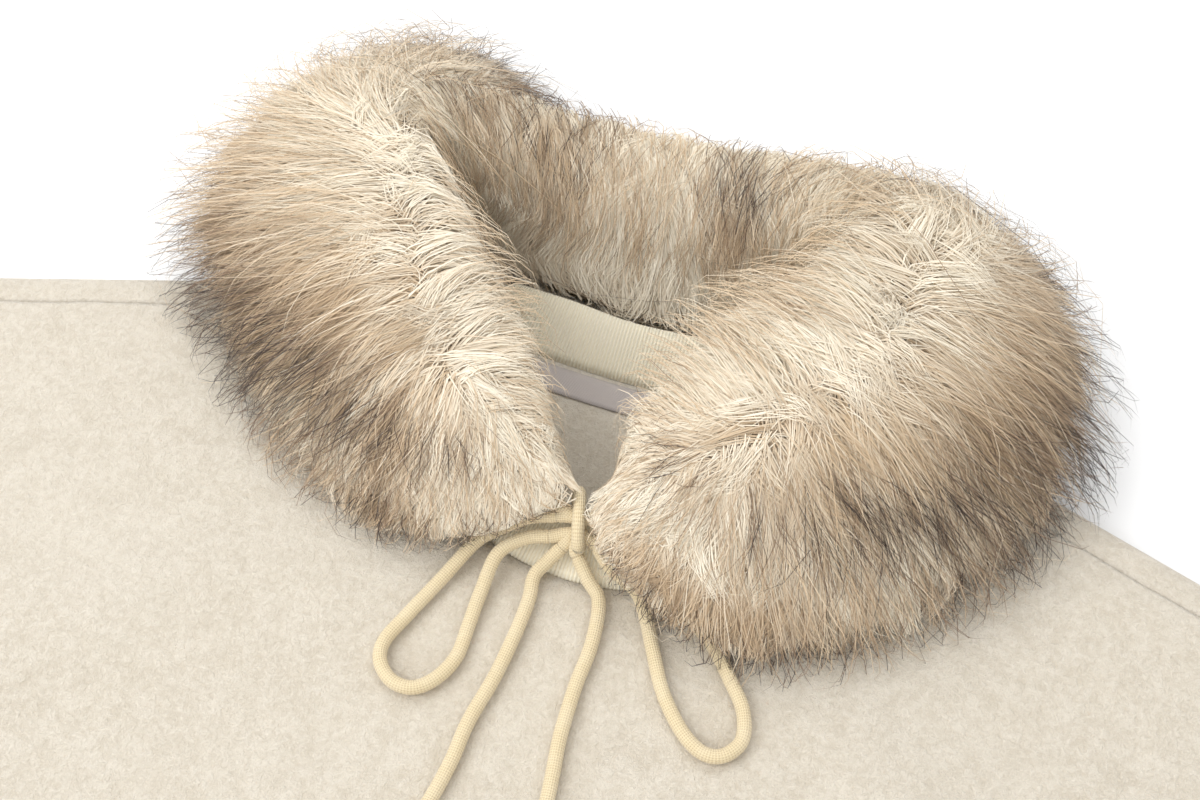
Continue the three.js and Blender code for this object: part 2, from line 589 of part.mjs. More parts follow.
const leftSleeve = sleeve(); // the garment's own left, as worn
addPiece("back", backPanel(), "fleece");
addPiece("front", frontPanel(), "fleece");
addPiece("sleeve_left", wallGeometry(leftSleeve), "fleece");
addPiece("sleeve_right", wallGeometry(mirroredSheet(leftSleeve)), "fleece");
addPiece("neck_rib", neckRib(), "rib");
addPiece("neck_tape", neckTape(), "tape");
addPiece("fur_collar", furCollar(), "fur");
for (const [name, route] of Object.entries(CORDS)) addPiece(name, cord(route), "cord");

// The bow's knot is a wrap of cord that stands across the loops, along the slope of the rib.
const knot = addPiece("cord_knot", new THREE.CapsuleGeometry(KNOT.radius, KNOT.length, 4, 12), "cord");
knot.position.set(KNOT.x, KNOT.y, KNOT.z);
knot.rotation.set(THREE.MathUtils.degToRad(KNOT.tilt), 0, THREE.MathUtils.degToRad(KNOT.turn));

for (const side of ["left", "right"]) {
  const [x, y, lift] = CORDS[`cord_tail_${side}`].at(-1);
  const end = addPiece(`cord_end_${side}`, new THREE.IcosahedronGeometry(END_KNOT_RADIUS, 1), "cord");
  const height = topHeight(x, y) + CORD_CLEARANCE + END_KNOT_RADIUS + lift;
  end.position.set(x, y - END_KNOT_RADIUS - SEAM_GAP, height);
}

// The origin is at the middle of the footprint.
const middle = new THREE.Box3().setFromObject(pullover).getCenter(vec3());
pullover.position.set(-middle.x, -middle.y, 0);

export default pullover;
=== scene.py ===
import bpy
import numpy as np
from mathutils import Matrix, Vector


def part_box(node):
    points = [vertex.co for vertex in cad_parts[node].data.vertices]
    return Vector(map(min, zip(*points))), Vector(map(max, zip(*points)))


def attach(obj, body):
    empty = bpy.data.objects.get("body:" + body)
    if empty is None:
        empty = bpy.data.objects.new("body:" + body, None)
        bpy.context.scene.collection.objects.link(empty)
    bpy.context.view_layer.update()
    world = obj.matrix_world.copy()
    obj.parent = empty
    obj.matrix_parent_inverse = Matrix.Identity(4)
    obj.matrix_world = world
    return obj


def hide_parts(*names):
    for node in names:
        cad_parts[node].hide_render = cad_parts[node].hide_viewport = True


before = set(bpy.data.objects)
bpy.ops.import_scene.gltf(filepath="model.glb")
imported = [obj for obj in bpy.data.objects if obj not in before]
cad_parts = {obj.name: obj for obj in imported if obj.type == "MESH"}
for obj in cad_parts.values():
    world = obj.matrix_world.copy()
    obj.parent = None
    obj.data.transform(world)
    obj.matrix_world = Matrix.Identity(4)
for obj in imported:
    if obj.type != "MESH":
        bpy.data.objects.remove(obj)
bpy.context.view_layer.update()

# Neck frame
# Every shape below is worked out in millimetres from a point on the table midway between the two neck
# points of the pullover: +X to the wearer's left, +Y towards the head, +Z up.
MM = 0.001
HEM_Y = -640
NECK_ORIGIN = np.array([0.0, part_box("front")[0][1] - HEM_Y * MM, 0.0])


def to_frame(places):
    """Places in metres in the model's frame, from millimetres in the neck frame."""
    return np.asarray(places) * MM + NECK_ORIGIN


def unit(vectors):
    """Vectors along the last axis, each divided by its length, or by a tiny one where it has none."""
    return vectors / np.maximum(np.linalg.norm(vectors, axis=-1, keepdims=True), 1e-6)


def distances_along(places):
    """How far each place of a row is from the first, along the straight steps between them."""
    return np.concatenate([[0], np.cumsum(np.linalg.norm(np.diff(places, axis=0), axis=1))])


# Camera and table
# The pullover lies face up on a white table between large soft lamps. The camera looks down on its collar,
# from the hem's side and a little from the wearer's left.
CAMERA = {"azimuth": 19.0, "elevation": 55.25, "distance": 0.631, "target": (-13.6, -35.3, 10.0), "lens": 50}
TABLE_SIZE = 6.0
TABLE_DROP = 0.4  # the table's top is this much under the cloth
LAMPS = {
    # name: (azimuth, elevation, distance, size, power)
    "key_lamp": (-62, 48, 1.9, 1.5, 16.5),
    "back_lamp": (-150, 55, 2.2, 1.6, 13),
    "front_lamp": (25, 38, 2.0, 1.6, 6),
}
ROOM_LIGHT = 0.8


def direction(azimuth, elevation):
    """Unit vector out to a place that looks along +Y at azimuth 0, raised by the elevation, in degrees."""
    turn, rise = np.radians([azimuth, elevation])
    return Vector((np.sin(turn) * np.cos(rise), -np.cos(turn) * np.cos(rise), np.sin(rise)))


def aim(item, azimuth, elevation, distance, target):
    """Puts a camera or lamp at that distance from the target and points it there."""
    out = direction(azimuth, elevation)
    item.location = Vector(target) + out * distance
    item.rotation_euler = out.to_track_quat("Z", "Y").to_euler()
    bpy.context.collection.objects.link(item)


photo_target = to_frame(CAMERA["target"])
camera = bpy.data.objects.new("camera", bpy.data.cameras.new("camera"))
camera.data.lens = CAMERA["lens"]
camera.data.sensor_width = 36
camera.data.clip_start = 0.01
aim(camera, CAMERA["azimuth"], CAMERA["elevation"], CAMERA["distance"], photo_target)
bpy.context.scene.camera = camera

for lamp_name, (azimuth, elevation, distance, size, power) in LAMPS.items():
    lamp = bpy.data.objects.new(lamp_name, bpy.data.lights.new(lamp_name, "AREA"))
    lamp.data.shape = "DISK"
    lamp.data.size = size
    lamp.data.energy = power
    aim(lamp, azimuth, elevation, distance, photo_target)

world = bpy.data.worlds.new("studio")
world.use_nodes = True
world.node_tree.nodes["Background"].inputs["Color"].default_value = (1, 1, 1, 1)
world.node_tree.nodes["Background"].inputs["Strength"].default_value = ROOM_LIGHT
bpy.context.scene.world = world
bpy.context.scene.view_settings.view_transform = "Standard"


class Value:
    """One output of a shader node. Sums, differences and products of values, and values divided by numbers,
    add the Math nodes that work them out."""

    def __init__(self, finish, socket):
        self.finish = finish
        self.socket = socket

    def __add__(self, other):
        return self.finish.math("ADD", self, other)

    def __sub__(self, other):
        return self.finish.math("SUBTRACT", self, other)

    def __mul__(self, other):
        return self.finish.math("MULTIPLY", self, other)

    def __truediv__(self, other):
        return self.finish.math("DIVIDE", self, other)

    __radd__ = __add__
    __rmul__ = __mul__


class Finish:
    """A material of one Principled shader. Its fixed values go by the names of that shader's sockets."""

    def __init__(self, name, **fixed):
        self.material = bpy.data.materials.new(name)
        self.material.use_nodes = True
        self.tree = self.material.node_tree
        self.shader = self.tree.nodes["Principled BSDF"]
        for socket, value in fixed.items():
            self.put(self.shader.inputs[socket.replace("_", " ")], value)

    def put(self, socket, value):
        """Links a value into a socket, or sets the socket to a number or colour."""
        if isinstance(value, Value):
            self.tree.links.new(value.socket, socket)
        elif isinstance(value, (tuple, list)) and len(value) == 3 and socket.type == "RGBA":
            socket.default_value = (*value, 1)
        else:
            socket.default_value = value

    def node(self, kind, settings=None, inputs=None, output=0):
        """A node of that kind, with its settings made first and then its sockets filled."""
        made = self.tree.nodes.new(kind)
        for name, value in (settings or {}).items():
            setattr(made, name, value)
        for name, value in (inputs or {}).items():
            self.put(made.inputs[name], value)
        return Value(self, made.outputs[output])

    def math(self, operation, first, second=0.0):
        return self.node("ShaderNodeMath", {"operation": operation}, {0: first, 1: second})

    def mix(self, factor, first, second):
        """The first colour turning to the second as the factor goes from 0 to 1."""
        settings = {"data_type": "RGBA"}
        return self.node("ShaderNodeMix", settings, {"Factor": factor, 6: first, 7: second}, output=2)

    def noise(self, scale, detail=3.0, roughness=0.55, distortion=0.0):
        """Smooth noise from 0 to 1 with that many waves to the metre, on the object's own coordinates."""
        place = self.node("ShaderNodeTexCoord", output="Object")
        inputs = {"Vector": place, "Scale": scale, "Detail": detail, "Roughness": roughness}
        return self.node("ShaderNodeTexNoise", {}, {**inputs, "Distortion": distortion})

    def steps(self, value, low, high):
        """0 where the value is under low and 1 where it is over high, smooth between."""
        settings = {"interpolation_type": "SMOOTHSTEP"}
        return self.node("ShaderNodeMapRange", settings, {"Value": value, "From Min": low, "From Max": high})

    def part_of(self, vector, axis):
        """The X or Y part of a vector."""
        return self.node("ShaderNodeSeparateXYZ", {}, {"Vector": vector}, output=axis)

    def finish(self, colour, height=None, depth=0.001):
        """Sets the surface's colour, and its bump from a height of 0 to 1 that is depth metres high."""
        self.put(self.shader.inputs["Base Color"], colour)
        if height is not None:
            bump = self.node("ShaderNodeBump", {}, {"Height": height, "Distance": depth, "Strength": 1.0})
            self.put(self.shader.inputs["Normal"], bump)
        return self.material


def grid_faces(rows, columns, closed=False):
    """Corners of the quads of a grid, with its last column joined to the first where it is closed, and
    their places from 0 to 1 across and along it."""
    span = columns if closed else columns - 1
    row, column = np.meshgrid(np.arange(rows - 1), np.arange(span), indexing="ij")
    corner_rows = np.stack([row, row, row + 1, row + 1], -1).reshape(-1, 4)
    corner_columns = np.stack([column, column + 1, column + 1, column], -1).reshape(-1, 4)
    faces = corner_rows * columns + corner_columns % columns
    return faces, np.stack([corner_columns / span, corner_rows / (rows - 1)], -1)


def add_mesh(name, places, faces, uv, material):
    """A smooth piece from places in neck-frame millimetres, an array of corners to a face and the places of
    those corners on its map. It rides on the one body."""
    mesh = bpy.data.meshes.new(name)
    mesh.vertices.add(len(places))
    mesh.vertices.foreach_set("co", to_frame(places).astype(np.float32).ravel())
    mesh.loops.add(faces.size)
    mesh.loops.foreach_set("vertex_index", faces.astype(np.int32).ravel())
    mesh.polygons.add(len(faces))
    mesh.polygons.foreach_set("loop_start", np.arange(0, faces.size, faces.shape[1], dtype=np.int32))
    mesh.update(calc_edges=True)
    mesh.shade_smooth()
    mesh.uv_layers.new(name="OFBake").data.foreach_set("uv", uv.astype(np.float32).ravel())
    mesh.materials.append(material)
    piece = bpy.data.objects.new(name, mesh)
    bpy.context.collection.objects.link(piece)
    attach(piece, "root")
    return piece


def turned_out(places, faces):
    """Whether the faces of a closed mesh point outwards: six times its signed volume is above 0."""
    corner = places[faces]
    fans = [np.einsum("ij,ij->i", corner[:, 0], np.cross(corner[:, k], corner[:, k + 1])) for k in (1, 2)]
    return sum(fan.sum() for fan in fans) > 0


table_finish = Finish("white_table", Roughness=0.6)
table_half = TABLE_SIZE / 2 / MM
table_corners = np.array([[-1, -1, 0], [1, -1, 0], [1, 1, 0], [-1, 1, 0]]) * table_half
table_mesh = bpy.data.meshes.new("table")
table_mesh.from_pydata(to_frame(table_corners - [0, 0, TABLE_DROP]).tolist(), [], [(0, 1, 2, 3)])
table_mesh.materials.append(table_finish.finish((0.97, 0.97, 0.97)))
table = bpy.data.objects.new("table", table_mesh)
bpy.context.collection.objects.link(table)

# Lie of the fleece
# The front lies on the back like two loose layers. Its top is lifted where the cloth turns over at a
# folded edge and round the neck, and soft folds run over it. The drawcord and the fur lie on this surface.
FLEECE = 2.4  # thickness of the fleece
SEAM_GAP = 0.3
FOLD_HEIGHT = 9.6  # how high a soft folded edge stands
FOLD_RADIUS = FOLD_HEIGHT / 2
EDGE_LIFT_REACH = 42
FLAT_TOP = 2 * FLEECE + SEAM_GAP
NECK_RING = {"y": -35, "radius": 80, "stretch": 1.05, "reach": 45}
NECK_X = 92
SHOULDER_X = 275
SHOULDER_SLOPE = np.radians(18)
NECK_POINT = np.array([NECK_X, 0.0])
SHOULDER_POINT = np.array([SHOULDER_X, -(SHOULDER_X - NECK_X) * np.tan(SHOULDER_SLOPE)])
UNDERARM = np.array([290.0, -300.0])
HEM_CORNER = np.array([280.0, HEM_Y])
SLEEVE_LENGTH = 500
SLEEVE_ANGLE = np.radians(-38)
CUFF_WIDTH = 115
CUFF_ANGLE = np.radians(-124)
CUFF_TOP = SHOULDER_POINT + SLEEVE_LENGTH * np.array([np.cos(SLEEVE_ANGLE), np.sin(SLEEVE_ANGLE)])
CUFF_UNDER = CUFF_TOP + CUFF_WIDTH * np.array([np.cos(CUFF_ANGLE), np.sin(CUFF_ANGLE)])
FOLDED_EDGES = [
    (NECK_POINT, SHOULDER_POINT),
    (SHOULDER_POINT, CUFF_TOP),
    (CUFF_UNDER, UNDERARM),
    (UNDERARM, HEM_CORNER),
]
# Each soft fold's middle in x and y, turn in degrees, half length, half width and height.
SOFT_FOLDS = [
    (-150, -150, 30, 95, 22, 3.2),
    (-205, -235, 42, 110, 20, 4.4),
    (-92, -262, 62, 90, 24, 2.6),
    (148, -170, -38, 80, 20, 3.0),
    (212, -262, -52, 105, 21, 4.6),
    (60, -330, -74, 120, 26, 2.8),
    (-180, -430, 76, 120, 24, 3.8),
    (168, -470, -80, 110, 25, 3.6),
    (-20, -520, 84, 90, 28, 2.4),
    (-330, -190, 58, 62, 15, 5.2),
    (-395, -240, 74, 54, 14, 4.6),
    (-505, -300, 66, 48, 13, 3.6),
    (345, -205, -62, 60, 15, 5.0),
    (430, -262, -76, 52, 14, 4.4),
    (540, -330, -58, 46, 13, 3.4),
]


def smooth(value, low, high):
    """0 under low and 1 over high, with the smooth cubic step 3s^2 - 2s^3 between."""
    share = np.clip((value - low) / (high - low), 0, 1)
    return share * share * (3 - 2 * share)


def line_distance(x, y, start, end):
    """Distance of plan places from the straight line between two places."""
    place = np.stack([x, y], -1)
    along = end - start
    share = np.clip((place - start) @ along / (along @ along), 0, 1)
    return np.linalg.norm(place - start - share[..., None] * along, axis=-1)


def edge_distance(x, y):
    """Distance of plan places from the nearest folded edge: the least distance to four straight lines."""
    return np.min([line_distance(np.abs(x), y, start, end) for start, end in FOLDED_EDGES], axis=0)


def top_height(x, y):
    """Outer height of the top layer: two layers of fleece, plus a lift that falls off as a bell curve from
    the folded edges and from the ring of the neck, plus long bell-shaped folds that the lift irons out."""
    inside = np.maximum(edge_distance(x, y) - FOLD_RADIUS, 0)
    from_neck = np.hypot(x / NECK_RING["stretch"], y - NECK_RING["y"]) - NECK_RING["radius"]
    neck = np.exp(-((from_neck / NECK_RING["reach"]) ** 2))
    held = np.maximum(np.exp(-((inside / EDGE_LIFT_REACH) ** 2)), neck)
    folds = 0
    for fold_x, fold_y, turn, long, wide, high in SOFT_FOLDS:
        across_x, across_y = -np.sin(np.radians(turn)), np.cos(np.radians(turn))
        along = (x - fold_x) * across_y - (y - fold_y) * across_x
        across = (x - fold_x) * across_x + (y - fold_y) * across_y
        folds = folds + high * np.exp(-((along / long) ** 2) - (across / wide) ** 2)
    return FLAT_TOP + (FOLD_HEIGHT - FLAT_TOP) * held + folds * (1 - held)


# Drawcord
# A soft round braided cotton cord, 5 mm thick, that runs inside the foot of the collar and is tied in a
# bow over the front of the neck. It has two loops and two free ends, each with a small knot at its tip.
CORD_DIAMETER = 5.0
CORD_CLEARANCE = 0.5
CORD_SIDES = 18
CORD_STEP = 1.4  # between two of its rings
NEARLY_UP = (0.02, 0.03, 1.0)  # no stretch of a cord runs along it
BRAID_STRANDS = 9  # that show round the cord in each direction
BRAID_PITCH = 17.0  # length of one turn of a strand round the cord
CREAM_COTTON = (0.83, 0.70, 0.46)
# painted shade for the hollows between the braid's beads
SHADED_COTTON = (0.60, 0.46, 0.26)
# From the knot: a place in plan, and how much higher the cord is there than where it would lie.
CORD_ROUTES = {
    "cord_loop_right": [
        (-7, -96, 12.4), (-17.5, -99.2, 10.8), (-27, -104.8, 6.2), (-34, -111, 3), (-41, -127.5, 0.4),
        (-47.5, -144, 0), (-51, -154.5, 0), (-49.5, -162, 0), (-43, -167.5, 0), (-35.2, -167.6, 0),
        (-29, -162, 0), (-25.2, -152.5, 0), (-25.4, -140.5, 0), (-25.8, -127.5, 0.6), (-24.5, -113.5, 4.6),
        (-16.8, -105.4, 6.4), (-7.4, -102, 7.4),
    ],
    "cord_loop_left": [
        (7.2, -100.8, 8.4), (14, -106, 5.6), (21, -109, 4), (26.5, -111.5, 2), (31.5, -118, 0.6),
        (38, -129.5, 0), (45.8, -142.5, 0), (55.6, -153, 0), (64, -157.8, 0), (71, -156.8, 0),
        (75.6, -149.6, 0), (73, -139.6, 0), (65.8, -130.6, 0), (56.4, -120.4, 0), (45, -112.5, 0.4),
        (31, -104.5, 3.4), (18, -98.5, 7.2), (6.8, -94, 12.4),
    ],
    "cord_tail_right": [
        (-3.2, -103.6, 6.6), (-7.4, -109.8, 2.6), (-10.2, -116, 0.8), (-9, -125, 0), (-9, -139, 0),
        (-10.2, -155.5, 0), (-12.8, -172.5, 0), (-13.2, -188, 0), (-15, -204, 0.4), (-19, -222, 1.2),
        (-25, -241, 1.6), (-31, -260, 1.6), (-35, -278, 1.6),
    ],
    "cord_tail_left": [
        (1.6, -105.2, 6), (8.2, -111.8, 2), (14.4, -118, 0.4), (17.2, -133.5, 0), (17, -149.5, 0),
        (18, -167.5, 0), (20.2, -181.5, 0), (21.6, -192, 0), (22.4, -207, 0), (21, -225, 0),
        (17, -243, 0), (13.5, -262, 0), (14, -281, 0),
    ],
}


def course(rows, share):
    """Smooth course through evenly spaced rows, at shares from 0 to 1 and a little past them: on each span
    a cubic whose slope at a row is half the step between that row's two neighbours."""
    rows = np.asarray(rows, float)
    padded = np.concatenate([2 * rows[:1] - rows[1:2], rows, 2 * rows[-1:] - rows[-2:-1]])
    place = np.clip(share, -0.03, 1.03) * (len(rows) - 1)
    span = np.clip(np.floor(place).astype(int), 0, len(rows) - 2)
    w = (place - span)[..., None]
    before, start, end, after = (padded[span + k] for k in range(4))
    slope, last_slope = (end - before) / 2, (after - start) / 2
    bend = 3 * (end - start) - 2 * slope - last_slope
    return start + w * (slope + w * (bend + w * (2 * (start - end) + slope + last_slope)))


def even_path(points, step):
    """The smooth course through points, with places that distance apart along it."""
    dense = course(points, np.linspace(0, 1, 40 * len(points)))
    along = distances_along(dense)
    even = np.linspace(0, along[-1], int(round(along[-1] / step)) + 1)
    return np.stack([np.interp(even, along, dense[:, k]) for k in range(3)], -1)


def tube_places(path, radius, sides, closed=False):
    """Rings round a path: at each place a circle in the plane across the path, whose radius may change
    along it."""
    if closed:
        tangent = np.roll(path, -1, axis=0) - np.roll(path, 1, axis=0)
    else:
        tangent = np.gradient(path, axis=0)
    tangent = unit(tangent)
    side = unit(np.cross(tangent, NEARLY_UP))
    over = np.cross(side, tangent)
    angle = np.linspace(0, 2 * np.pi, sides, endpoint=False)
    ring = side[:, None] * np.cos(angle)[:, None] + over[:, None] * np.sin(angle)[:, None]
    return path[:, None] + ring * np.broadcast_to(radius, len(path))[:, None, None]


def tube_mesh(name, tubes, material):
    """One piece from tubes, each a grid of rings. A closed tube joins its last ring to its first, and an
    open one has its end rings drawn in already."""
    places, faces, uvs = [], [], []
    count = 0
    for number, (rings, closed) in enumerate(tubes):
        if closed:
            rings = np.concatenate([rings, rings[:1]])
        quads, uv = grid_faces(*rings.shape[:2], closed=True)
        if closed:
            quads = quads % ((len(rings) - 1) * rings.shape[1])
            rings = rings[:-1]
        flat = rings.reshape(-1, 3)
        if not turned_out(flat, quads):
            quads, uv = quads[:, ::-1], uv[:, ::-1]
        places.append(flat)
        faces.append(quads + count)
        uvs.append((uv + [0, number]) / [1, len(tubes)])
        count += len(flat)
    return add_mesh(name, np.concatenate(places), np.concatenate(faces), np.concatenate(uvs), material)


def domed(path, radius):
    """Radius along an open tube: round at both ends and even between."""
    along = distances_along(path)
    from_end = np.minimum(along, along[-1] - along)
    cap = np.clip(from_end / radius, 0, 1)
    return radius * np.maximum(np.sqrt(1 - (1 - cap) ** 2), 0.02)


def cord_finish():
    """Braided cotton: two families of strands wind opposite ways, and each crossing is a raised bead."""
    finish = Finish("braided_cotton", Roughness=0.78, Sheen_Weight=0.35, Sheen_Roughness=0.5)
    uv = finish.node("ShaderNodeUVMap", {"uv_map": "braid"})
    round_share = finish.part_of(uv, "X")
    turns = finish.part_of(uv, "Y") / (BRAID_PITCH * MM)
    one_way = finish.math("COSINE", (round_share + turns) * (2 * np.pi * BRAID_STRANDS))
    other_way = finish.math("COSINE", (round_share - turns) * (2 * np.pi * BRAID_STRANDS))
    bead = one_way * other_way * 0.5 + 0.5
    fibre = finish.noise(2600, detail=2)
    height = bead * 0.75 + fibre * 0.35
    # Painted shade: the cord is a darker tan in the hollows between the beads and cream on their tops.
    shade = finish.steps(height, 0.1, 0.75)
    colour = finish.mix(shade, SHADED_COTTON, CREAM_COTTON)
    worn = finish.noise(120, detail=2)
    colour = finish.mix(finish.steps(worn, 0.35, 0.8) * 0.25, colour, (0.90, 0.80, 0.60))
    return finish.finish(colour, height, 0.00035)


braided_cotton = cord_finish()


def lying_route(route):
    """Places of a cord that lies on the fleece, raised by the lift of each point of its route."""
    x, y, lift = np.array(route, float).T
    return np.stack([x, y, top_height(x, y) + CORD_CLEARANCE + CORD_DIAMETER / 2 + lift], -1)


def add_cord_piece(name, tubes):
    """A piece of cord from tubes of rings, with a map for its braid: the share round a tube, and metres
    along it."""
    piece = tube_mesh(name, tubes, braided_cotton)
    lengths = [distances_along(rings.mean(axis=1))[-1] * MM for rings, _ in tubes]
    flat = np.empty(len(piece.data.loops) * 2, np.float32)
    piece.data.uv_layers["OFBake"].data.foreach_get("uv", flat)
    share = flat.reshape(-1, 2)
    number = np.minimum((share[:, 1] * len(tubes) - 1e-6).astype(int).clip(0), len(tubes) - 1)
    along = (share[:, 1] * len(tubes) - number) * np.array(lengths)[number]
    braid = np.stack([share[:, 0], along], -1).astype(np.float32)
    piece.data.uv_layers.new(name="braid").data.foreach_set("uv", braid.ravel())
    return piece


# The bow knot is one turn of the cord, drawn tight across the strands that pass through it. Two short
# stretches of the cord come to it out of the collar's ends.
KNOT = {
    "place": (-0.5, -96, 25.2),
    "half_length": 9.8,
    "half_height": 3.4,
    "crossing": 0.6,  # how far its four quarters lean to one side and the other
    "turn": 19,
    "tilt": 22,
}
KNOT_RADIUS = 2.35  # of the cord, which is drawn tight there
END_KNOT = {"radius": 1.9, "sides": 12, "wide": 1.15, "high": 1.5}
# The strands that the knot draws together: two out of the collar's ends, then those of the loops and tails,
# which overlap the ends of the routes above.
KNOT_STRANDS = [
    [
        (-26, -93, 24.5), (-19, -92.5, 26.5), (-11, -93, 27), (-4, -95, 26.0), (2, -97, 24.6),
    ],
    [
        (20, -91, 25.5), (14, -91.5, 26.5), (8, -93, 26.4), (2, -95, 25.4), (-3, -97, 24.4),
    ],
    [
        (-10, -96.9, 24.2), (-7, -96, 24.6), (-3, -95.5, 25.4), (2, -94.8, 25.5), (6.8, -94, 24.5),
        (9, -95, 23.6),
    ],
    [
        (-10.6, -103.3, 19.6), (-7.4, -102, 20.0), (-3, -100.4, 21.4), (2, -99.8, 22.2),
        (7.2, -100.8, 20.9), (9.6, -102.7, 19.8),
    ],
    [(-4.6, -105.6, 17.7), (-3.2, -103.6, 19.2), (-1.8, -101, 21.4), (-0.8, -98, 23.4)],
    [(3.2, -106.9, 17.3), (1.6, -105.2, 18.7), (0.6, -102.4, 20.6), (0, -98.5, 23.2)],
]


def knot_turn():
    """The tight turn of the knot: an oval across the strands, tilted with the rib, turned with the bow."""
    angle = np.linspace(0, 2 * np.pi, 48, endpoint=False)
    local = np.stack([
        KNOT["crossing"] * np.sin(angle) * np.cos(angle),
        KNOT["half_length"] * np.cos(angle),
        KNOT["half_height"] * np.sin(angle),
    ], -1)
    tilt, turn = np.radians([KNOT["tilt"], KNOT["turn"]])
    tilted = np.array([[1, 0, 0], [0, np.cos(tilt), -np.sin(tilt)], [0, np.sin(tilt), np.cos(tilt)]])
    turned = np.array([[np.cos(turn), -np.sin(turn), 0], [np.sin(turn), np.cos(turn), 0], [0, 0, 1]])
    return local @ (turned @ tilted).T + KNOT["place"]


def end_knot(centre):
    """A small overhand knot, as a trefoil: a path that goes twice round its middle and crosses itself three
    times."""
    angle = np.linspace(0, 2 * np.pi, 90, endpoint=False)
    x = np.sin(angle) + 2 * np.sin(2 * angle)
    y = np.cos(angle) - 2 * np.cos(2 * angle)
    z = -np.sin(3 * angle)
    return np.stack([x, y, z], -1) * [END_KNOT["wide"], END_KNOT["wide"], END_KNOT["high"]] + centre


def open_tube(path):
    """A stretch of cord with rounded ends, along an even path."""
    return tube_places(path, domed(path, CORD_DIAMETER / 2), CORD_SIDES), False


knot_tubes = [(tube_places(knot_turn(), KNOT_RADIUS, CORD_SIDES, closed=True), True)]
knot_tubes += [open_tube(even_path(points, CORD_STEP)) for points in KNOT_STRANDS]
knot = add_cord_piece("bow_knot", knot_tubes)
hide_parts("cord_knot")

for cord_name, route in CORD_ROUTES.items():
    path = even_path(lying_route(route), CORD_STEP)
    cord = add_cord_piece(cord_name.replace("cord_", "bow_"), [open_tube(path)])
    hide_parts(cord_name)
    is_tail = "tail" in cord_name
    with_pieces = [knot] if cord_name == "cord_loop_right" else []
    if is_tail:
        end_name = cord_name.replace("tail", "end")
        low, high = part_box(end_name)
        centre = ((np.array(low) + np.array(high)) / 2 - NECK_ORIGIN) / MM
        rings = tube_places(end_knot(centre), END_KNOT["radius"], END_KNOT["sides"], closed=True)
        end = add_cord_piece(end_name.replace("cord_", "knot_"), [(rings, True)])
        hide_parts(end_name)
        with_pieces.append(end)

# Fleece
# The body and sleeves are cut from thick brushed fleece: a dense knit whose face is raised into a soft
# felted nap, in warm cream. The panels are joined by soft seams that draw in between two low rolls.
# The first colour is painted shade for the hollows of the nap, the second painted light for its raised tips.
SHADED_HOLLOW_CREAM = (0.690, 0.605, 0.475)
PALE_CREAM = (0.845, 0.770, 0.645)
PEACH_FLECK = (0.680, 0.530, 0.370)
NAP_HEIGHT = 0.13
NAP_WANDER = {"far": 1.5, "often": 0.03}  # of its waves, in radians and in radians to the millimetre
NAP_WAVES = [
    # radians to the millimetre along x and y, and the start in radians
    (0.17, 0.09, 0.3),
    (-0.11, 0.21, 1.9),
    (0.29, -0.05, 4.1),
    (0.07, -0.31, 2.6),
    (-0.24, -0.19, 5.2),
]
SHOULDER_WRAP = 14  # how far the back comes over the shoulder fold to its seam
FRONT_DROP = 112
BACK_DROP = 20
SEAM_ROLL = {"high": 0.8, "wide": 13.0, "groove": 5.5}
HEM_TURN = 22  # depth of the turned hem and cuffs, where the stitching draws in
HEM_STITCHING = {
    "deep": 0.8,
    "wide": 2.2,
    "thicker": 0.9,
    "past": 4,  # how far past the stitches the turning's thickness goes on
    "fade": 6,  # the length over which it ends
}
PANEL_ROWS = 21
NECKLINE_START = 14 / PANEL_ROWS  # share of a panel's rows that are under its neckline
ARMHOLE_START = 12 / PANEL_ROWS  # share of them that are under its armhole
FOLD_STEPS = [75, 60, 45, 30, 15, 3.6]  # degrees at which a panel's side fold has a column
ARMHOLE_BOW = np.array([270.0, -175.0])
ARMHOLE_GAP = 0.5  # between the body and a sleeve


def fleece_finish():
    """Brushed nap: fine clumps of fibre over soft hollows, with painted light on the raised tips, painted
    shade in the hollows and a few peach flecks."""
    finish = Finish("brushed_fleece", Roughness=1.0, Sheen_Weight=0.45, Sheen_Roughness=0.65)
    fibre = finish.noise(1500, detail=4, roughness=0.65, distortion=0.8)
    clump = finish.noise(430, detail=3, distortion=0.6)
    hollow = finish.noise(120, detail=2)
    broad = finish.noise(14, detail=2)
    height = fibre * 0.5 + clump * 0.55 + hollow * 0.3
    # Painted shade: the nap's colour follows its height, darker in the hollows and paler on the raised tips.
    tip = finish.steps(height, 0.5, 0.84)
    colour = finish.mix(tip, SHADED_HOLLOW_CREAM, PALE_CREAM)
    colour = finish.mix(finish.steps(broad, 0.3, 0.75) * 0.25, colour, PALE_CREAM)
    fleck = finish.steps(finish.noise(620, detail=3, distortion=1.0), 0.6, 0.74)
    colour = finish.mix(fleck * finish.steps(hollow, 0.35, 0.65) * 0.42, colour, PEACH_FLECK)
    return finish.finish(colour, height, 0.0017)


brushed_fleece = fleece_finish()


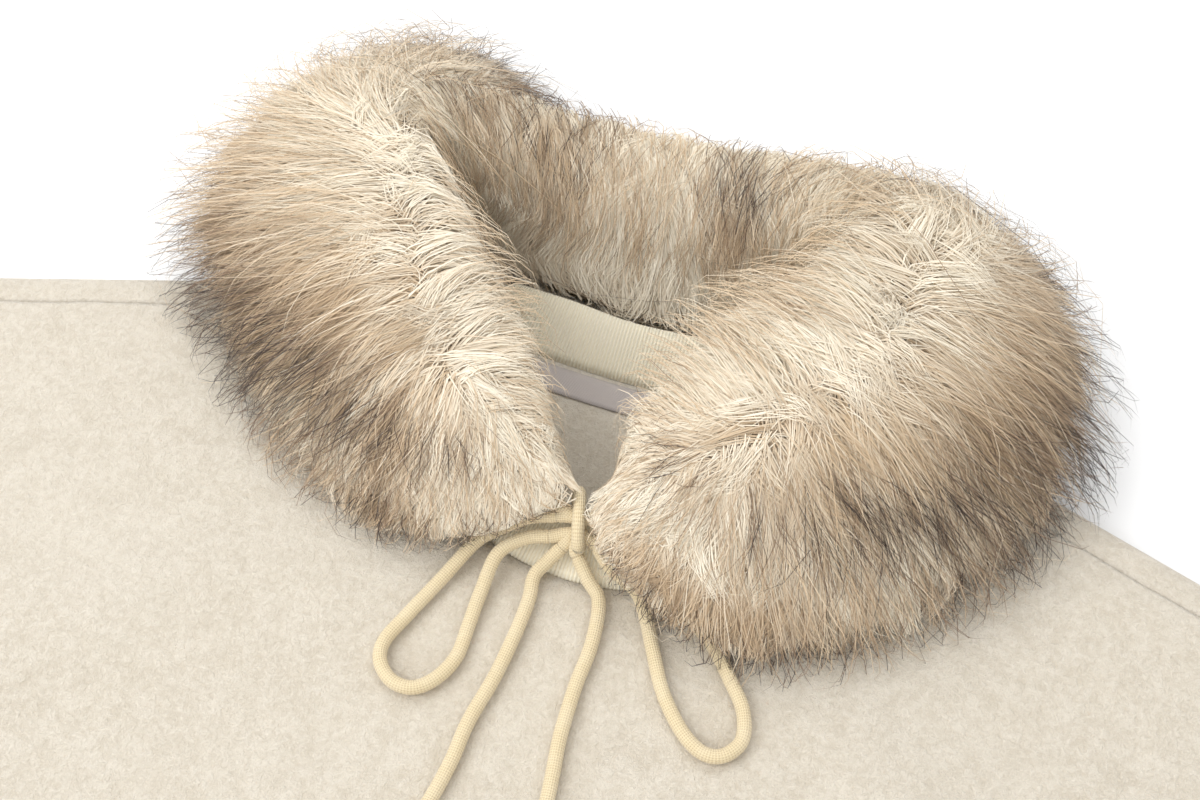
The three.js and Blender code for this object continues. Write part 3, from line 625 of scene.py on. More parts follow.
def shell_mesh(name, outer, inner, material, slot, closed=False, mirrored=False):
    """A thin wall between two grids of places, joined along their free edges. A mirrored wall is a half
    and its mirror image, which share the places that lie on the centre line."""
    rows, columns = outer.shape[:2]
    quads, uv = grid_faces(rows, columns, closed)
    uv = uv * [0.49, 0.96]
    outer, inner = outer.reshape(-1, 3), inner.reshape(-1, 3)
    if mirrored:
        twin = np.arange(len(outer)) + len(outer)
        on_centre = np.abs(outer[:, 0]) < 1e-6
        twin[on_centre] = np.flatnonzero(on_centre)
        quads = np.concatenate([quads, twin[quads][:, ::-1]])
        uv = np.concatenate([uv * [0.5, 1], uv[:, ::-1] * [0.5, 1] + [0.2475, 0]])
        outer, inner = (np.concatenate([grid, grid * [-1, 1, 1]]) for grid in (outer, inner))
    count = len(outer)
    edges = np.stack([quads, np.roll(quads, -1, axis=1)], -1).reshape(-1, 2)
    free = edges[~np.isin(edges[:, 0] * count + edges[:, 1], edges[:, 1] * count + edges[:, 0])]
    rim = np.stack([free[:, 1], free[:, 0], free[:, 0] + count, free[:, 1] + count], -1)
    place = np.arange(len(rim))[:, None] + [1, 0, 0, 1]
    rim_uv = np.stack([place / len(rim), np.broadcast_to([0.97, 0.97, 0.99, 0.99], place.shape)], -1)
    faces = np.concatenate([quads, (quads + count)[:, ::-1], rim])
    uvs = np.concatenate([uv, uv[:, ::-1] + [0.505, 0], rim_uv])
    used, faces = np.unique(faces, return_inverse=True)
    faces = faces.reshape(-1, 4)
    places = np.concatenate([outer, inner])[used]
    if not turned_out(places, faces):
        faces, uvs = faces[:, ::-1], uvs[:, ::-1]
    return add_mesh(name, places, faces, uvs, material)


def armhole(share):
    """The armhole from the underarm to the shoulder point: a parabola bowed in towards the body."""
    share = np.asarray(share, float)[..., None]
    return (1 - share) ** 2 * UNDERARM + 2 * share * (1 - share) * ARMHOLE_BOW + share ** 2 * SHOULDER_POINT


def armhole_at(distance):
    """Places on the armhole at distances from the shoulder point along it."""
    dense = armhole(np.linspace(1, 0, 400))
    along = distances_along(dense)
    return np.stack([np.interp(distance, along, dense[:, k]) for k in range(2)], -1)


ARMHOLE_LENGTH = distances_along(armhole(np.linspace(0, 1, 400)))[-1]


def seam_roll(distance):
    """Height that a seam adds beside itself: a low bell with a narrower one taken out of its middle."""
    high, wide, groove = SEAM_ROLL["high"], SEAM_ROLL["wide"], SEAM_ROLL["groove"]
    return high * (np.exp(-((distance / wide) ** 2)) - np.exp(-((distance / groove) ** 2)))


def curve_distance(x, y, curve):
    """Distance of plan places from the nearest of a curve's closely spaced places."""
    return np.min([np.hypot(x - place[0], y - place[1]) for place in curve], axis=0)


SEAM_DOWN = np.array([0.0, -SHOULDER_WRAP / np.cos(SHOULDER_SLOPE)])
ARMHOLE_PLACES = armhole(np.linspace(0, 1, 60))


def turned_edge(from_edge):
    """Height that a hem's or cuff's turning adds: a thicker edge and, where it ends, a stitched channel."""
    channel = HEM_STITCHING["deep"] * np.exp(-(((from_edge - HEM_TURN) / HEM_STITCHING["wide"]) ** 2))
    before_end = HEM_TURN + HEM_STITCHING["past"] - from_edge
    return HEM_STITCHING["thicker"] * smooth(before_end, 0, HEM_STITCHING["fade"]) - channel


def dressed_top(x, y):
    """Outer height of the top layer with its sewing: the seams at the shoulder and armhole draw in between
    two rolls, the stitched hem makes a shallow channel, and low crossing waves make the nap uneven."""
    side = np.abs(x)
    height = top_height(x, y)
    height = height + seam_roll(line_distance(side, y, NECK_POINT + SEAM_DOWN, SHOULDER_POINT + SEAM_DOWN))
    height = height + seam_roll(curve_distance(side, y, ARMHOLE_PLACES))
    for by_x, by_y, start in NAP_WAVES:
        bent = NAP_WANDER["far"] * np.sin(NAP_WANDER["often"] * (x - y) + start)
        height = height + NAP_HEIGHT * np.sin(by_x * x + by_y * y + start + bent)
    return height + turned_edge(y - HEM_Y)


def fold_profile(degrees):
    """Inset and height, outside and inside, of a folded edge at an angle from -90, flat on the table, to 90:
    two half circles about one middle."""
    inwards, up = np.cos(np.radians(degrees)), np.sin(np.radians(degrees))
    radii = [FOLD_RADIUS, FOLD_RADIUS - FLEECE]
    return [(FOLD_RADIUS - radius * inwards, FOLD_RADIUS + radius * up) for radius in radii]


def neck_end(inset):
    """Where the neckline is that far in from the shoulder fold."""
    return np.array([NECK_X, -inset / np.cos(SHOULDER_SLOPE)])


def panel_ends(v, drop, inset):
    """Inner and outer plan ends of a panel's rows, for v from 0 at the hem to 1 at the shoulder. The inner
    end goes up the centre line and round a quarter ellipse of neckline; the outer one up the side and the
    armhole. The last result is 0 on the side seam and 1 on the armhole."""
    start = neck_end(inset)
    rise = np.clip(v / NECKLINE_START, 0, 1)
    angle = np.clip((v - NECKLINE_START) / (1 - NECKLINE_START), 0, 1) * np.pi / 2
    inner_x = start[0] * np.sin(angle)
    inner_y = HEM_Y + (-drop - HEM_Y) * rise + (drop + start[1]) * (1 - np.cos(angle))
    up_side = HEM_CORNER + (UNDERARM - HEM_CORNER) * np.clip(v / ARMHOLE_START, 0, 1)[..., None]
    over = np.clip((v - ARMHOLE_START) / (1 - ARMHOLE_START), 0, 1)
    up_armhole = armhole_at(ARMHOLE_LENGTH + (inset - ARMHOLE_LENGTH) * over)
    outer = np.where(v[..., None] <= ARMHOLE_START, up_side, up_armhole)
    past_corner = np.clip((v - ARMHOLE_START) * PANEL_ROWS, 0, 1)
    return np.stack([inner_x, inner_y], -1), outer, past_corner


def panel_half(v, columns, drop, inset, layer, fold_angles):
    """One half of a panel as outer and inner grids: each row runs from its inner end to the side fold, which
    it follows through the given angles, or flat to the armhole."""
    inner_end, outer_end, past_corner = panel_ends(v, drop, inset)
    width = outer_end - inner_end
    length = np.linalg.norm(width, axis=1)
    grids = [[], []]
    for share in np.linspace(0, 1, columns + 1):
        plan = inner_end + width * (share * (1 - FOLD_RADIUS / length))[:, None]
        heights = layer(plan[:, 0], plan[:, 1])
        for grid, height in zip(grids, heights):
            grid.append(np.concatenate([plan, height[:, None]], 1))
    for step, degrees in enumerate(fold_angles):
        flat_inset = FOLD_RADIUS * (1 - (step + 1) / len(fold_angles))
        for side, (fold_inset, fold_height) in enumerate(fold_profile(degrees)):
            edge_inset = fold_inset + (flat_inset - fold_inset) * past_corner
            plan = inner_end + width * (1 - edge_inset / length)[:, None]
            flat_height = layer(plan[:, 0], plan[:, 1])[side]
            height = fold_height + (flat_height - fold_height) * past_corner
            grids[side].append(np.concatenate([plan, height[:, None]], 1))
    return [np.stack(grid, 1) for grid in grids]


def lower_layer(x, y):
    """Outer and inner height of the back, which lies flat on the table."""
    return np.zeros_like(x), np.full_like(x, FLEECE)


def upper_layer(x, y):
    """Outer and inner height of the front."""
    height = dressed_top(x, y)
    return height, height - FLEECE


def flat_area(piece):
    """Area of a piece of cloth before it was sewn: half the surface of its thin wall, in square metres."""
    piece.data.calc_loop_triangles()
    return round(sum(face.area for face in piece.data.polygons) / 2, 4)


rows = np.concatenate([np.linspace(0, 0.04, 12), np.linspace(0.04, 0.96, 92), np.linspace(0.96, 1, 14)])
rows = np.unique(np.append(rows, NECKLINE_START))
front_inset = SHOULDER_WRAP + SEAM_GAP
half = panel_half(rows, 34, FRONT_DROP, front_inset, upper_layer, FOLD_STEPS)
front = shell_mesh("front_panel", *half, brushed_fleece, "fleece", mirrored=True)
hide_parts("front")
flat_area(front)

back_rows = np.unique(np.append(np.linspace(0, 1, 64), NECKLINE_START))
half = panel_half(back_rows, 26, BACK_DROP, FOLD_RADIUS, lower_layer, [-step for step in FOLD_STEPS])


def over_shoulder(grid, side):
    """Rows that carry the back's outer or inner grid on round the shoulder fold and down to its seam."""
    from_neck = np.linalg.norm(grid[-1] - grid[-1][0], axis=1)
    share = (from_neck / from_neck[-1])[:, None]
    extra = []

    def row_at(inset):
        return neck_end(inset) + share * (armhole_at(inset) - neck_end(inset))

    for degrees in range(-75, 91, 15):
        inset, height = fold_profile(degrees)[side]
        line = row_at(inset)
        extra.append(np.column_stack([line, np.full(len(line), height)]))
    for inset in np.linspace(FOLD_RADIUS, SHOULDER_WRAP, 6)[1:]:
        line = row_at(inset)
        extra.append(np.column_stack([line, upper_layer(line[:, 0], line[:, 1])[side]]))
    return np.concatenate([grid, np.stack(extra)], 0)


wrapped = [over_shoulder(grid, side) for side, grid in enumerate(half)]
back = shell_mesh("back_panel", *wrapped, brushed_fleece, "fleece", mirrored=True)
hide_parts("back")
flat_area(back)


def sleeve_grids(down, steps):
    """A sleeve's rings as outer and inner grids. Each ring goes across the lower layer, up round the fold
    on the shoulder's side, back across the upper layer and down round the underarm's fold. The armhole's
    bow fades out down the sleeve as the square of what is left."""
    under = UNDERARM + (CUFF_UNDER - UNDERARM) * down[:, None]
    top = SHOULDER_POINT + (CUFF_TOP - SHOULDER_POINT) * down[:, None]
    length = np.linalg.norm(top - under, axis=1)

    def plan_at(inset):
        share = np.clip(inset / length, 0, 1)[:, None]
        seam = armhole(share[:, 0]) + [ARMHOLE_GAP, 0]
        bow = seam - UNDERARM - (SHOULDER_POINT - UNDERARM) * share
        straight = under + (top - under) * share + [ARMHOLE_GAP, 0] * down[:, None]
        return straight + bow * (1 - down[:, None]) ** 2

    def upper(plan):
        x, y = plan.T
        height = dressed_top(x, y) + turned_edge(line_distance(x, y, CUFF_TOP, CUFF_UNDER))
        return height, height - FLEECE

    flat = [FOLD_RADIUS + (length - 2 * FOLD_RADIUS) * share for share in np.linspace(0, 1, steps)]
    bend = range(-72, 73, 18)
    grids = [[], []]
    for side in (0, 1):
        add = grids[side].append
        for inset in flat:
            plan = plan_at(inset)
            add(np.column_stack([plan, lower_layer(plan[:, 0], plan[:, 1])[side]]))
        for degrees in bend:
            inset, height = fold_profile(degrees)[side]
            add(np.column_stack([plan_at(length - inset), np.full(len(down), height)]))
        for inset in flat[::-1]:
            plan = plan_at(inset)
            add(np.column_stack([plan, upper(plan)[side]]))
        for degrees in bend[::-1]:
            inset, height = fold_profile(degrees)[side]
            add(np.column_stack([plan_at(np.full(len(down), inset)), np.full(len(down), height)]))
    return [np.stack(grid, 1) for grid in grids]


down = [np.linspace(0, 0.06, 9), np.linspace(0.06, 0.92, 36), np.linspace(0.92, 1, 12)]
outer_grid, inner_grid = sleeve_grids(np.unique(np.concatenate(down)), 19)
for sleeve_name, mirror in (("sleeve_left", 1), ("sleeve_right", -1)):
    flip = np.array([mirror, 1, 1])
    sleeve = shell_mesh(
        f"{sleeve_name}_panel", outer_grid * flip, inner_grid * flip, brushed_fleece, "fleece", closed=True
    )
    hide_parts(sleeve_name)
    flat_area(sleeve)

# Neck rib
# One ring of rib knit in fine cream cotton, folded double along its top edge and sewn into the neckline
# with its two raw edges. Its ribs run over the fold. In front and at the sides it leans in over the
# opening, and behind it leans back against the collar.
RIB = {
    "height": 23.0,
    "thickness": 2.6,
    "relief": 0.2,
    "count": 336,
    "columns_each": 3,
    "inset": 2.2,  # how far inside the neckline its foot is
    "clearance": 0.5,  # over the lower layer, behind
    "face_rows": 7,
    "rise": 0.47,  # sine of its slope in the middle of the front
    "rise_behind": 0.15,  # what is added to it in the middle behind
    "inward_behind": 0.2,  # how much of its lean over the opening is left behind the neck
}
RIB_CREAM = (1.0, 0.935, 0.75)
RIB_SHADE = (0.92, 0.83, 0.62)
RIB_WAVES = [(0.5, 5, 1), (0.3, 11, 0)]  # of its height: millimetres, waves round the neck and start
RIB_PASSES = (82, 112)  # degrees from the front's middle, between which its foot comes down to the back
RIB_TUCK = 0.055  # share of its height that the rib goes on under the panels' edge


def neck_seam(angle):
    """The rib's foot by an angle from the middle of the front, just inside the neckline: two half ovals
    that share their width, on the top layer in front and on the lower layer behind."""
    front = np.maximum(np.cos(angle), 0)
    back = np.maximum(-np.cos(angle), 0)
    over = smooth(np.degrees(np.arccos(np.clip(np.cos(angle), -1, 1))), *RIB_PASSES)
    edge_y = neck_end(SHOULDER_WRAP)[1] * (1 - over) + neck_end(FOLD_RADIUS)[1] * over
    y = edge_y - front * (FRONT_DROP + edge_y - RIB["inset"]) - back * (BACK_DROP + edge_y - RIB["inset"])
    front_height = FOLD_HEIGHT - FLEECE / 2
    height = front_height + (RIB["thickness"] / 2 + RIB["clearance"] - front_height) * over
    return np.stack([(NECK_X - RIB["inset"]) * np.sin(angle), y, height], -1)


def rib_edge(angle):
    """The rib's folded top edge: the foot plus the band's height along its lean."""
    rise = RIB["rise"] + RIB["rise_behind"] * (1 - np.cos(angle)) / 2
    inward = 1 + (RIB["inward_behind"] - 1) * np.maximum(-np.cos(angle), 0)
    lean = np.stack([-np.sin(angle) * inward, np.abs(np.cos(angle))], -1)
    lean *= (np.sqrt(1 - rise ** 2) / np.linalg.norm(lean, axis=-1))[..., None]
    lean = np.concatenate([lean, rise[..., None]], -1)
    uneven = RIB["height"]
    for high, waves, start in RIB_WAVES:
        uneven = uneven + high * np.sin(waves * angle + start)
    return neck_seam(angle) + lean * uneven[..., None]


def even_angles(count):
    """Angles round the neck that are equally far apart along its seam."""
    dense = np.linspace(0, 2 * np.pi, 2000)
    along = distances_along(neck_seam(dense))
    return np.interp(np.arange(count) / count * along[-1], along, dense)


def rib_finish():
    """Rib knit: each rib is a column of small stitches, pale on top and shaded in its groove."""
    finish = Finish("rib_knit", Roughness=0.92, Sheen_Weight=0.3, Sheen_Roughness=0.6)
    uv = finish.node("ShaderNodeUVMap", {"uv_map": "OFBake"})
    rib = finish.math("COSINE", finish.part_of(uv, "Y") * (2 * np.pi * RIB["count"])) * 0.5 + 0.5
    stitch = finish.math("SINE", finish.part_of(uv, "X") * 260.0 + rib * 2.4) * 0.5 + 0.5
    fibre = finish.noise(2200, detail=3)
    height = rib * 0.55 + stitch * 0.22 + fibre * 0.35
    colour = finish.mix(finish.steps(rib, 0.0, 0.6), RIB_SHADE, RIB_CREAM)
    colour = finish.mix(finish.steps(finish.noise(60), 0.35, 0.75) * 0.3, colour, (0.90, 0.84, 0.70))
    return finish.finish(colour, height, 0.0003)


def rib_rings():
    """Sections of the folded band round the neck. A section goes up the outer face, over the fold as a half
    circle and down the inner face; a cosine with flattened tops swells and thins it from rib to rib."""
    angles = even_angles(RIB["count"] * RIB["columns_each"])
    foot, edge = neck_seam(angles), rib_edge(angles)
    tangent = neck_seam(angles + 0.01) - neck_seam(angles - 0.01)
    outward = unit(np.cross(tangent, edge - foot))
    wave = np.cos(2 * np.pi * np.arange(len(angles)) / RIB["columns_each"])
    half = RIB["thickness"] / 2 + RIB["relief"] * np.tanh(2 * wave) / np.tanh(2)
    cap = RIB["thickness"] / 2 / RIB["height"]
    straight = np.linspace(-RIB_TUCK, 1 - cap, RIB["face_rows"])
    bend = np.linspace(0, np.pi, RIB["face_rows"])[1:-1]
    level = np.concatenate([straight, 1 - cap + cap * np.sin(bend), straight[::-1]])
    side = np.concatenate([np.ones(len(straight)), np.cos(bend), -np.ones(len(straight))])
    rings = foot[:, None] + (edge - foot)[:, None] * level[:, None]
    return rings + outward[:, None] * (half[:, None] * side)[..., None]


rib = tube_mesh("neck_rib_band", [(rib_rings(), True)], rib_finish())
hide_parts("neck_rib")

# Neck tape
# A plain woven strip with a slight sheen, lilac-grey, that covers the neck seam inside the back. It is
# blank.
TAPE = {"length": 120.0, "width": 12.0, "thickness": 0.5, "below": 2.0}
# The first colour is painted shade for the low places between the threads.
TAPE_SHADE = (0.47, 0.42, 0.40)
TAPE_LILAC = (0.62, 0.57, 0.55)


def tape_finish():
    """Plain weave: fine crosswise threads over finer lengthwise ones."""
    finish = Finish("woven_tape", Roughness=0.5, Sheen_Weight=0.2)
    place = finish.node("ShaderNodeTexCoord", output="Object")
    crosswise = finish.math("SINE", finish.part_of(place, "X") * 9000.0)
    weave = crosswise * finish.math("SINE", finish.part_of(place, "Y") * 7000.0) * 0.5 + 0.5
    # Painted shade: darker between the raised threads of the weave, with random mottling from the noise on
    # top.
    colour = finish.mix(weave * 0.4 + finish.noise(300) * 0.3, TAPE_SHADE, TAPE_LILAC)
    return finish.finish(colour, weave, 0.00012)


tape_x = np.linspace(-TAPE["length"] / 2, TAPE["length"] / 2, 60)
tape_top = neck_seam(np.pi - np.arcsin(tape_x / NECK_X))[:, 1] - RIB["inset"] - TAPE["below"]
tape_grid = []
for share in np.linspace(0, 1, 7):
    tape_y = tape_top - TAPE["width"] * share
    tape_z = FLEECE + SEAM_GAP + TAPE["thickness"] + 0.12 * np.sin(tape_x / 9) * share
    tape_grid.append(np.stack([tape_x, tape_y, tape_z], -1))
tape_grid = np.stack(tape_grid)
tape = shell_mesh("neck_tape_strip", tape_grid, tape_grid - [0, 0, TAPE["thickness"]], tape_finish(), "tape")
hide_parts("neck_tape")

# Fur collar
# A long strip of fake fur, doubled over and sewn in with the rib, whose ends meet at the drawcord's knot.
# Its knitted backing holds a dense creamy pile with brown markings, and longer guard hairs with dark tips.
# The strip stands round the neck, and its pile stands out from it, parted along the ridge.
COLLAR = [
    # foot, lip over the neck, ridge, how far the pile stands out outside and by the rib, droop in degrees
    ((-11, -95, 29), (-10, -83, 34), (-10, -86, 41), 6, 4, 6),
    ((-35, -108, 22), (-20, -73, 38), (-30, -77, 54), 12, 7, 14),
    ((-64, -101, 15), (-35, -53, 42), (-57, -63, 66), 31, 10, 18),
    ((-90, -64, 13), (-55, -31, 46), (-82, -36, 75), 56, 12, 16),
    ((-102, -18, 13), (-74, -8, 50), (-100, -2, 79), 84, 13, 12),
    ((-98, 16, 9), (-90, 15, 52), (-116, 38, 77), 86, 13, 16),
    ((-58, 7, 5), (-56, 18, 44), (-72, 50, 69), 42, 13, 38),
    ((0, 1, 5), (-4, 20, 42), (-4, 57, 62), 26, 13, 52),
    ((58, 7, 5), (38, 18, 44), (50, 57, 69), 30, 13, 38),
    ((98, 16, 9), (54, 12, 52), (84, 40, 77), 58, 13, 18),
    ((102, -18, 13), (37, -8, 50), (86, -4, 79), 61, 13, 12),
    ((90, -64, 13), (27, -27, 48), (74, -36, 75), 52, 12, 16),
    ((64, -101, 15), (14, -48, 44), (48, -64, 66), 37, 10, 18),
    ((32, -108, 23), (6, -67, 38), (23, -76, 55), 19, 7, 14),
    ((11, -97, 28), (8, -83, 34), (9, -86, 41), 9, 4, 10),
]
FEET, LIPS, RIDGES = (np.array([row[k] for row in COLLAR], float) for k in range(3))
PILES = np.array([row[3:] for row in COLLAR], float)
OVER_RISE = (0.26, 0.46)  # shares of the strip's height between which the pile leaves the rib for the lip
OVER_RIB = 22.5
CLOTH_CLEARANCE = 0.8
HAIR_CLEARANCE = 0.4
OUTER_FULLNESS = (1.25, 0.5)  # of the outer side at the foot, and what of it is gone at the ridge
PILE_MIDDLE = (0.15, 0.6)  # share of the height where loft is 0, at the foot, and what the ridge adds
BEHIND = {"from": 8, "from_neck": -8, "over": 16, "narrow": 60}  # where the fur comes down to the table
CORD_ROOM = {"x": 27, "y": -112, "width": 30, "depth": 26, "height": 6.5}  # left under the fur's ends
BACKING_LOFTS = (0.5, 0.44)  # its two faces between the middle of the collar, 0, and the tips, 1
# The first colour is painted shade for the low places between the backing's stitches.
BACKING_SHADE = (0.34, 0.26, 0.18)
BACKING_TAN = (0.50, 0.41, 0.30)
PILE_TOP = 89.0  # no hair stands higher than this


def under_fur(x, y):
    """Lowest height of the fur: just over the garment or its cords, and behind the neck on the table."""
    past_neck = np.maximum(np.abs(x) - NECK_X, 0)
    outside = past_neck * np.sin(SHOULDER_SLOPE) + y * np.cos(SHOULDER_SLOPE)
    across = (np.abs(x) - CORD_ROOM["x"]) / CORD_ROOM["width"]
    along = (y - CORD_ROOM["y"]) / CORD_ROOM["depth"]
    over_cords = CORD_ROOM["height"] * np.exp(-(across ** 2) - along ** 2)
    wider = smooth(np.abs(x), BEHIND["narrow"], NECK_X)
    start = BEHIND["from_neck"] + (BEHIND["from"] - BEHIND["from_neck"]) * wider
    on_table = np.clip((outside - start) / BEHIND["over"], 0, 1)
    return (top_height(x, y) + CLOTH_CLEARANCE + over_cords) * (1 - on_table)


def collar_place(share, turn, loft):
    """A place in the pile, by its share of the collar's length, its turn round the strip (0 at the foot,
    half a turn at the ridge, the outer side first) and its loft: 0 in the middle, 1 at the tips. Half a sine
    gives each side's fullness, out to the lip on the inner one, and the loft goes straight outwards. Past the
    collar's ends its course stands still, and a place there isn't a number."""
    foot = course(FEET, share)
    up = course(RIDGES, share) - foot
    to_lip = course(LIPS, share) - foot - up / 2
    outer, by_rib, droop = np.moveaxis(course(PILES, share), -1, 0)
    along = course(FEET, share + 0.004) - course(FEET, share - 0.004)
    level = np.stack([-along[..., 1], along[..., 0], np.zeros_like(outer)], -1)
    level /= np.linalg.norm(level, axis=-1, keepdims=True)
    square = unit(level - up * (np.sum(level * up, -1) / np.sum(up * up, -1))[..., None])
    droop = np.radians(droop)[..., None]
    drooped = level * np.cos(droop) - [0, 0, 1] * np.sin(droop)
    rise = (1 - np.cos(turn)) / 2
    side = np.sin(turn)
    fullness = OUTER_FULLNESS[0] - OUTER_FULLNESS[1] * rise
    outwards = drooped * (outer * side * fullness)[..., None]
    over_neck = smooth(rise, *OVER_RISE)
    thin = by_rib * np.minimum(1, 4 * rise) * (1 - over_neck)
    inwards = square * (side * thin)[..., None] - to_lip * (side * over_neck)[..., None]
    outside = foot + up * rise[..., None] + np.where(side[..., None] > 0, outwards, inwards)
    over_rib = (side < 0) & (rise > OVER_RISE[0])
    outside[..., 2] = np.where(over_rib, np.maximum(outside[..., 2], OVER_RIB), outside[..., 2])
    middle = foot + up * (PILE_MIDDLE[0] + PILE_MIDDLE[1] * rise)[..., None]
    place = middle + (outside - middle) * np.asarray(loft)[..., None]
    lowest = under_fur(place[..., 0], place[..., 1]) + HAIR_CLEARANCE
    place[..., 2] = np.clip(place[..., 2], lowest, PILE_TOP)
    return place


share, turn = np.meshgrid(np.linspace(0, 1, 90), np.linspace(0.3, 2 * np.pi - 0.3, 30), indexing="ij")
backing_finish = Finish("fur_backing", Roughness=0.95)
stitches = backing_finish.noise(900, detail=2)
# Painted shade: the backing's colour is darker where its stitches lie lower.
backing_colour = backing_finish.mix(stitches, BACKING_SHADE, BACKING_TAN)
backing = shell_mesh(
    "collar_backing",
    *(collar_place(share, turn, np.full(share.shape, loft)) for loft in BACKING_LOFTS),
    backing_finish.finish(backing_colour, stitches, 0.0004),
    "fur",
)
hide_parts("fur_collar")

# How the pile lies: it runs out from a crown on each side of the neck, and up and over behind.
CROWNS = (0.225, 0.765)
CROWN_REACH = 0.075  # the pile parts along the ridge for this share on both sides of a crown
COLLAR_LENGTH = 620.0  # along the middle of the pile
COLLAR_GIRTH = 45.0  # round the strip for each radian, in the middle of its sides
# How far a hair runs along the pile, by row of the collar.
HAIR_RUNS = np.array([10, 15, 24, 30, 33, 33, 29, 27, 29, 33, 33, 30, 24, 16, 11], float)[:, None]
HAIR_LEVELS = np.array([0.08, 0.42, 0.74, 1.0])
GUARD_LEVELS = np.array([0.1, 0.38, 0.62, 0.83, 1.0])
LOCKS = 4300
HAIRS_A_LOCK = 32
LOCK_SCATTER = 4.0  # how far its roots spread, as a standard deviation in millimetres
LOCK_DRAW = 0.3  # share of that spread that is left at the tips
LOCK_SWING = 0.34  # sideways, as the tangent of its angle
LOCK_BEND = 2.6
LOCK_RUN = (0.88, 0.16)
LOCK_LOFT = (0.95, 0.06)
LOCK_TONE = (-0.03, 0.055)
HAIR_REACH = 0.1  # how much the hairs of a lock differ in their run
HAIR_STRAY = 0.9  # at the tip, in millimetres
HAIR_BEND = 0.8
HAIR_ROOTS = (0.42, 0.52)  # loft of their roots
HAIR_TONE = 0.04
LOCK_UNEVEN = (0.014, 0.26)  # in share and turn, of the place whose lie it takes
UPRIGHT_BEHIND = 0.55  # how much shorter a lock's run is on the ridge behind the neck
PAINTED_LIGHT_BEHIND = 0.09  # painted light: how much paler the pile is made where it faces the neck from behind, in the lamps' shade
GUARD_HAIRS = 19000
GUARD_SWING = 0.36
GUARD_BEND = 2.4
GUARD_RUN = (0.85, 1.3)
GUARD_LOFT = (0.97, 1.2)
GUARD_TONE = 0.12
GUARD_DARKER = 1.2  # than the under-hair, in the markings
GUARD_RIM = 1.3  # darkness of the darkest tips along the outer rim
GUARD_STANDING = {"behind": 0.3, "round": 0.16}  # how much further some of them stand out
ROLL = 0.7  # the most that a ribbon turns about its hair, in radians
NORMAL_SPREAD = 0.15
OUTER_LOFT = 0.85  # where the outside of the pile is measured
LEAST_STEP = 0.8  # in millimetres, where the steps on it become too short to divide by
ROOT_GRID = (161, 97)
ROOT_EDGE = 0.2  # turn from the foot within which no hair grows, on both sides
THIN_AT_FOOT = {"share": 0.35, "from": 0.45, "to": 0.9}  # of the pile that lies on the cloth, by its turn
LIE = {
    "along": 0.7,  # weights of the ways along and round the collar from a crown
    "across": 1.4,
    "soft": 9.0,  # how softly the pile turns over at a crown
    "fan": 1.2,  # how it spreads behind the neck
    "least": 0.35,
}
CREAM_TIP = (0.98, 0.90, 0.745)
WARM_TAN = (0.67, 0.505, 0.325)
SOFT_BROWN = (0.25, 0.16, 0.10)
NEAR_BLACK = (0.045, 0.03, 0.025)
PIECE_TRIANGLES = 190000  # the most that a piece of pile has
MAP_BANDS = 24  # of a piece's map, each for the hairs of that part of the turn round the strip
PALE_RIM = (0.17, 0.06)  # where along the collar its outer rim has few dark tips, and how far on each side
# Markings: share along the collar, degrees round it, half length, half width in millimetres and darkness.
MARKINGS = [
    (0.136, 92, 9, 10, 0.95), (0.221, 118, 26, 15, 0.48), (0.186, 130, 26, 14, 0.50),
    (0.150, 140, 18, 11, 0.52), (0.111, 145, 14, 9, 0.36), (0.314, 88, 44, 17, 0.62),
    (0.262, 82, 30, 14, 0.50), (0.143, 48, 30, 9, 0.45), (0.893, 172, 13, 10, 0.66),
    (0.843, 155, 17, 9, 0.53), (0.807, 135, 20, 13, 0.58), (0.754, 138, 22, 16, 0.38),
    (0.929, 84, 20, 11, 0.76), (0.889, 74, 20, 10, 0.70), (0.857, 68, 20, 10, 0.54),
    (0.682, 112, 26, 18, 0.57), (0.732, 98, 26, 16, 0.54), (0.396, 232, 12, 28, 0.44),
    (0.436, 262, 7, 20, 0.66), (0.439, 214, 8, 15, 0.56), (0.466, 225, 6, 20, 0.30),
    (0.525, 245, 9, 26, 0.48), (0.538, 272, 8, 18, 0.44), (0.589, 222, 9, 16, 0.36),
    (0.611, 192, 10, 14, 0.46), (0.45, 96, 30, 15, 0.54), (0.56, 104, 24, 13, 0.61),
    (0.62, 62, 20, 12, 0.74), (0.36, 66, 24, 12, 0.68), (0.50, 50, 34, 9, 0.61),
]


def darkness_at(share, turn):
    """How dark the pile is marked, from 0 to 1: the sum of bell-shaped spots."""
    dark = np.zeros_like(share)
    for spot_share, degrees, long, wide, strength in MARKINGS:
        along = (share - spot_share) * COLLAR_LENGTH / long
        across = (turn - np.radians(degrees)) * COLLAR_GIRTH / wide
        dark += strength * np.exp(-(along ** 2) - across ** 2)
    return np.clip(dark, 0, 1)


def steps_on_pile(share, turn, by_share, by_turn):
    """Steps along and round the outside of the pile, between places on both sides at those distances."""
    loft = np.full(share.shape, OUTER_LOFT)
    along = collar_place(share + by_share, turn, loft) - collar_place(share - by_share, turn, loft)
    return along, collar_place(share, turn + by_turn, loft) - collar_place(share, turn - by_turn, loft)


def behind_neck(share, start, end):
    """1 behind the neck, between the middles of two smooth steps along the collar, and 0 round its sides."""
    return smooth(share, *start) * (1 - smooth(share, *end))


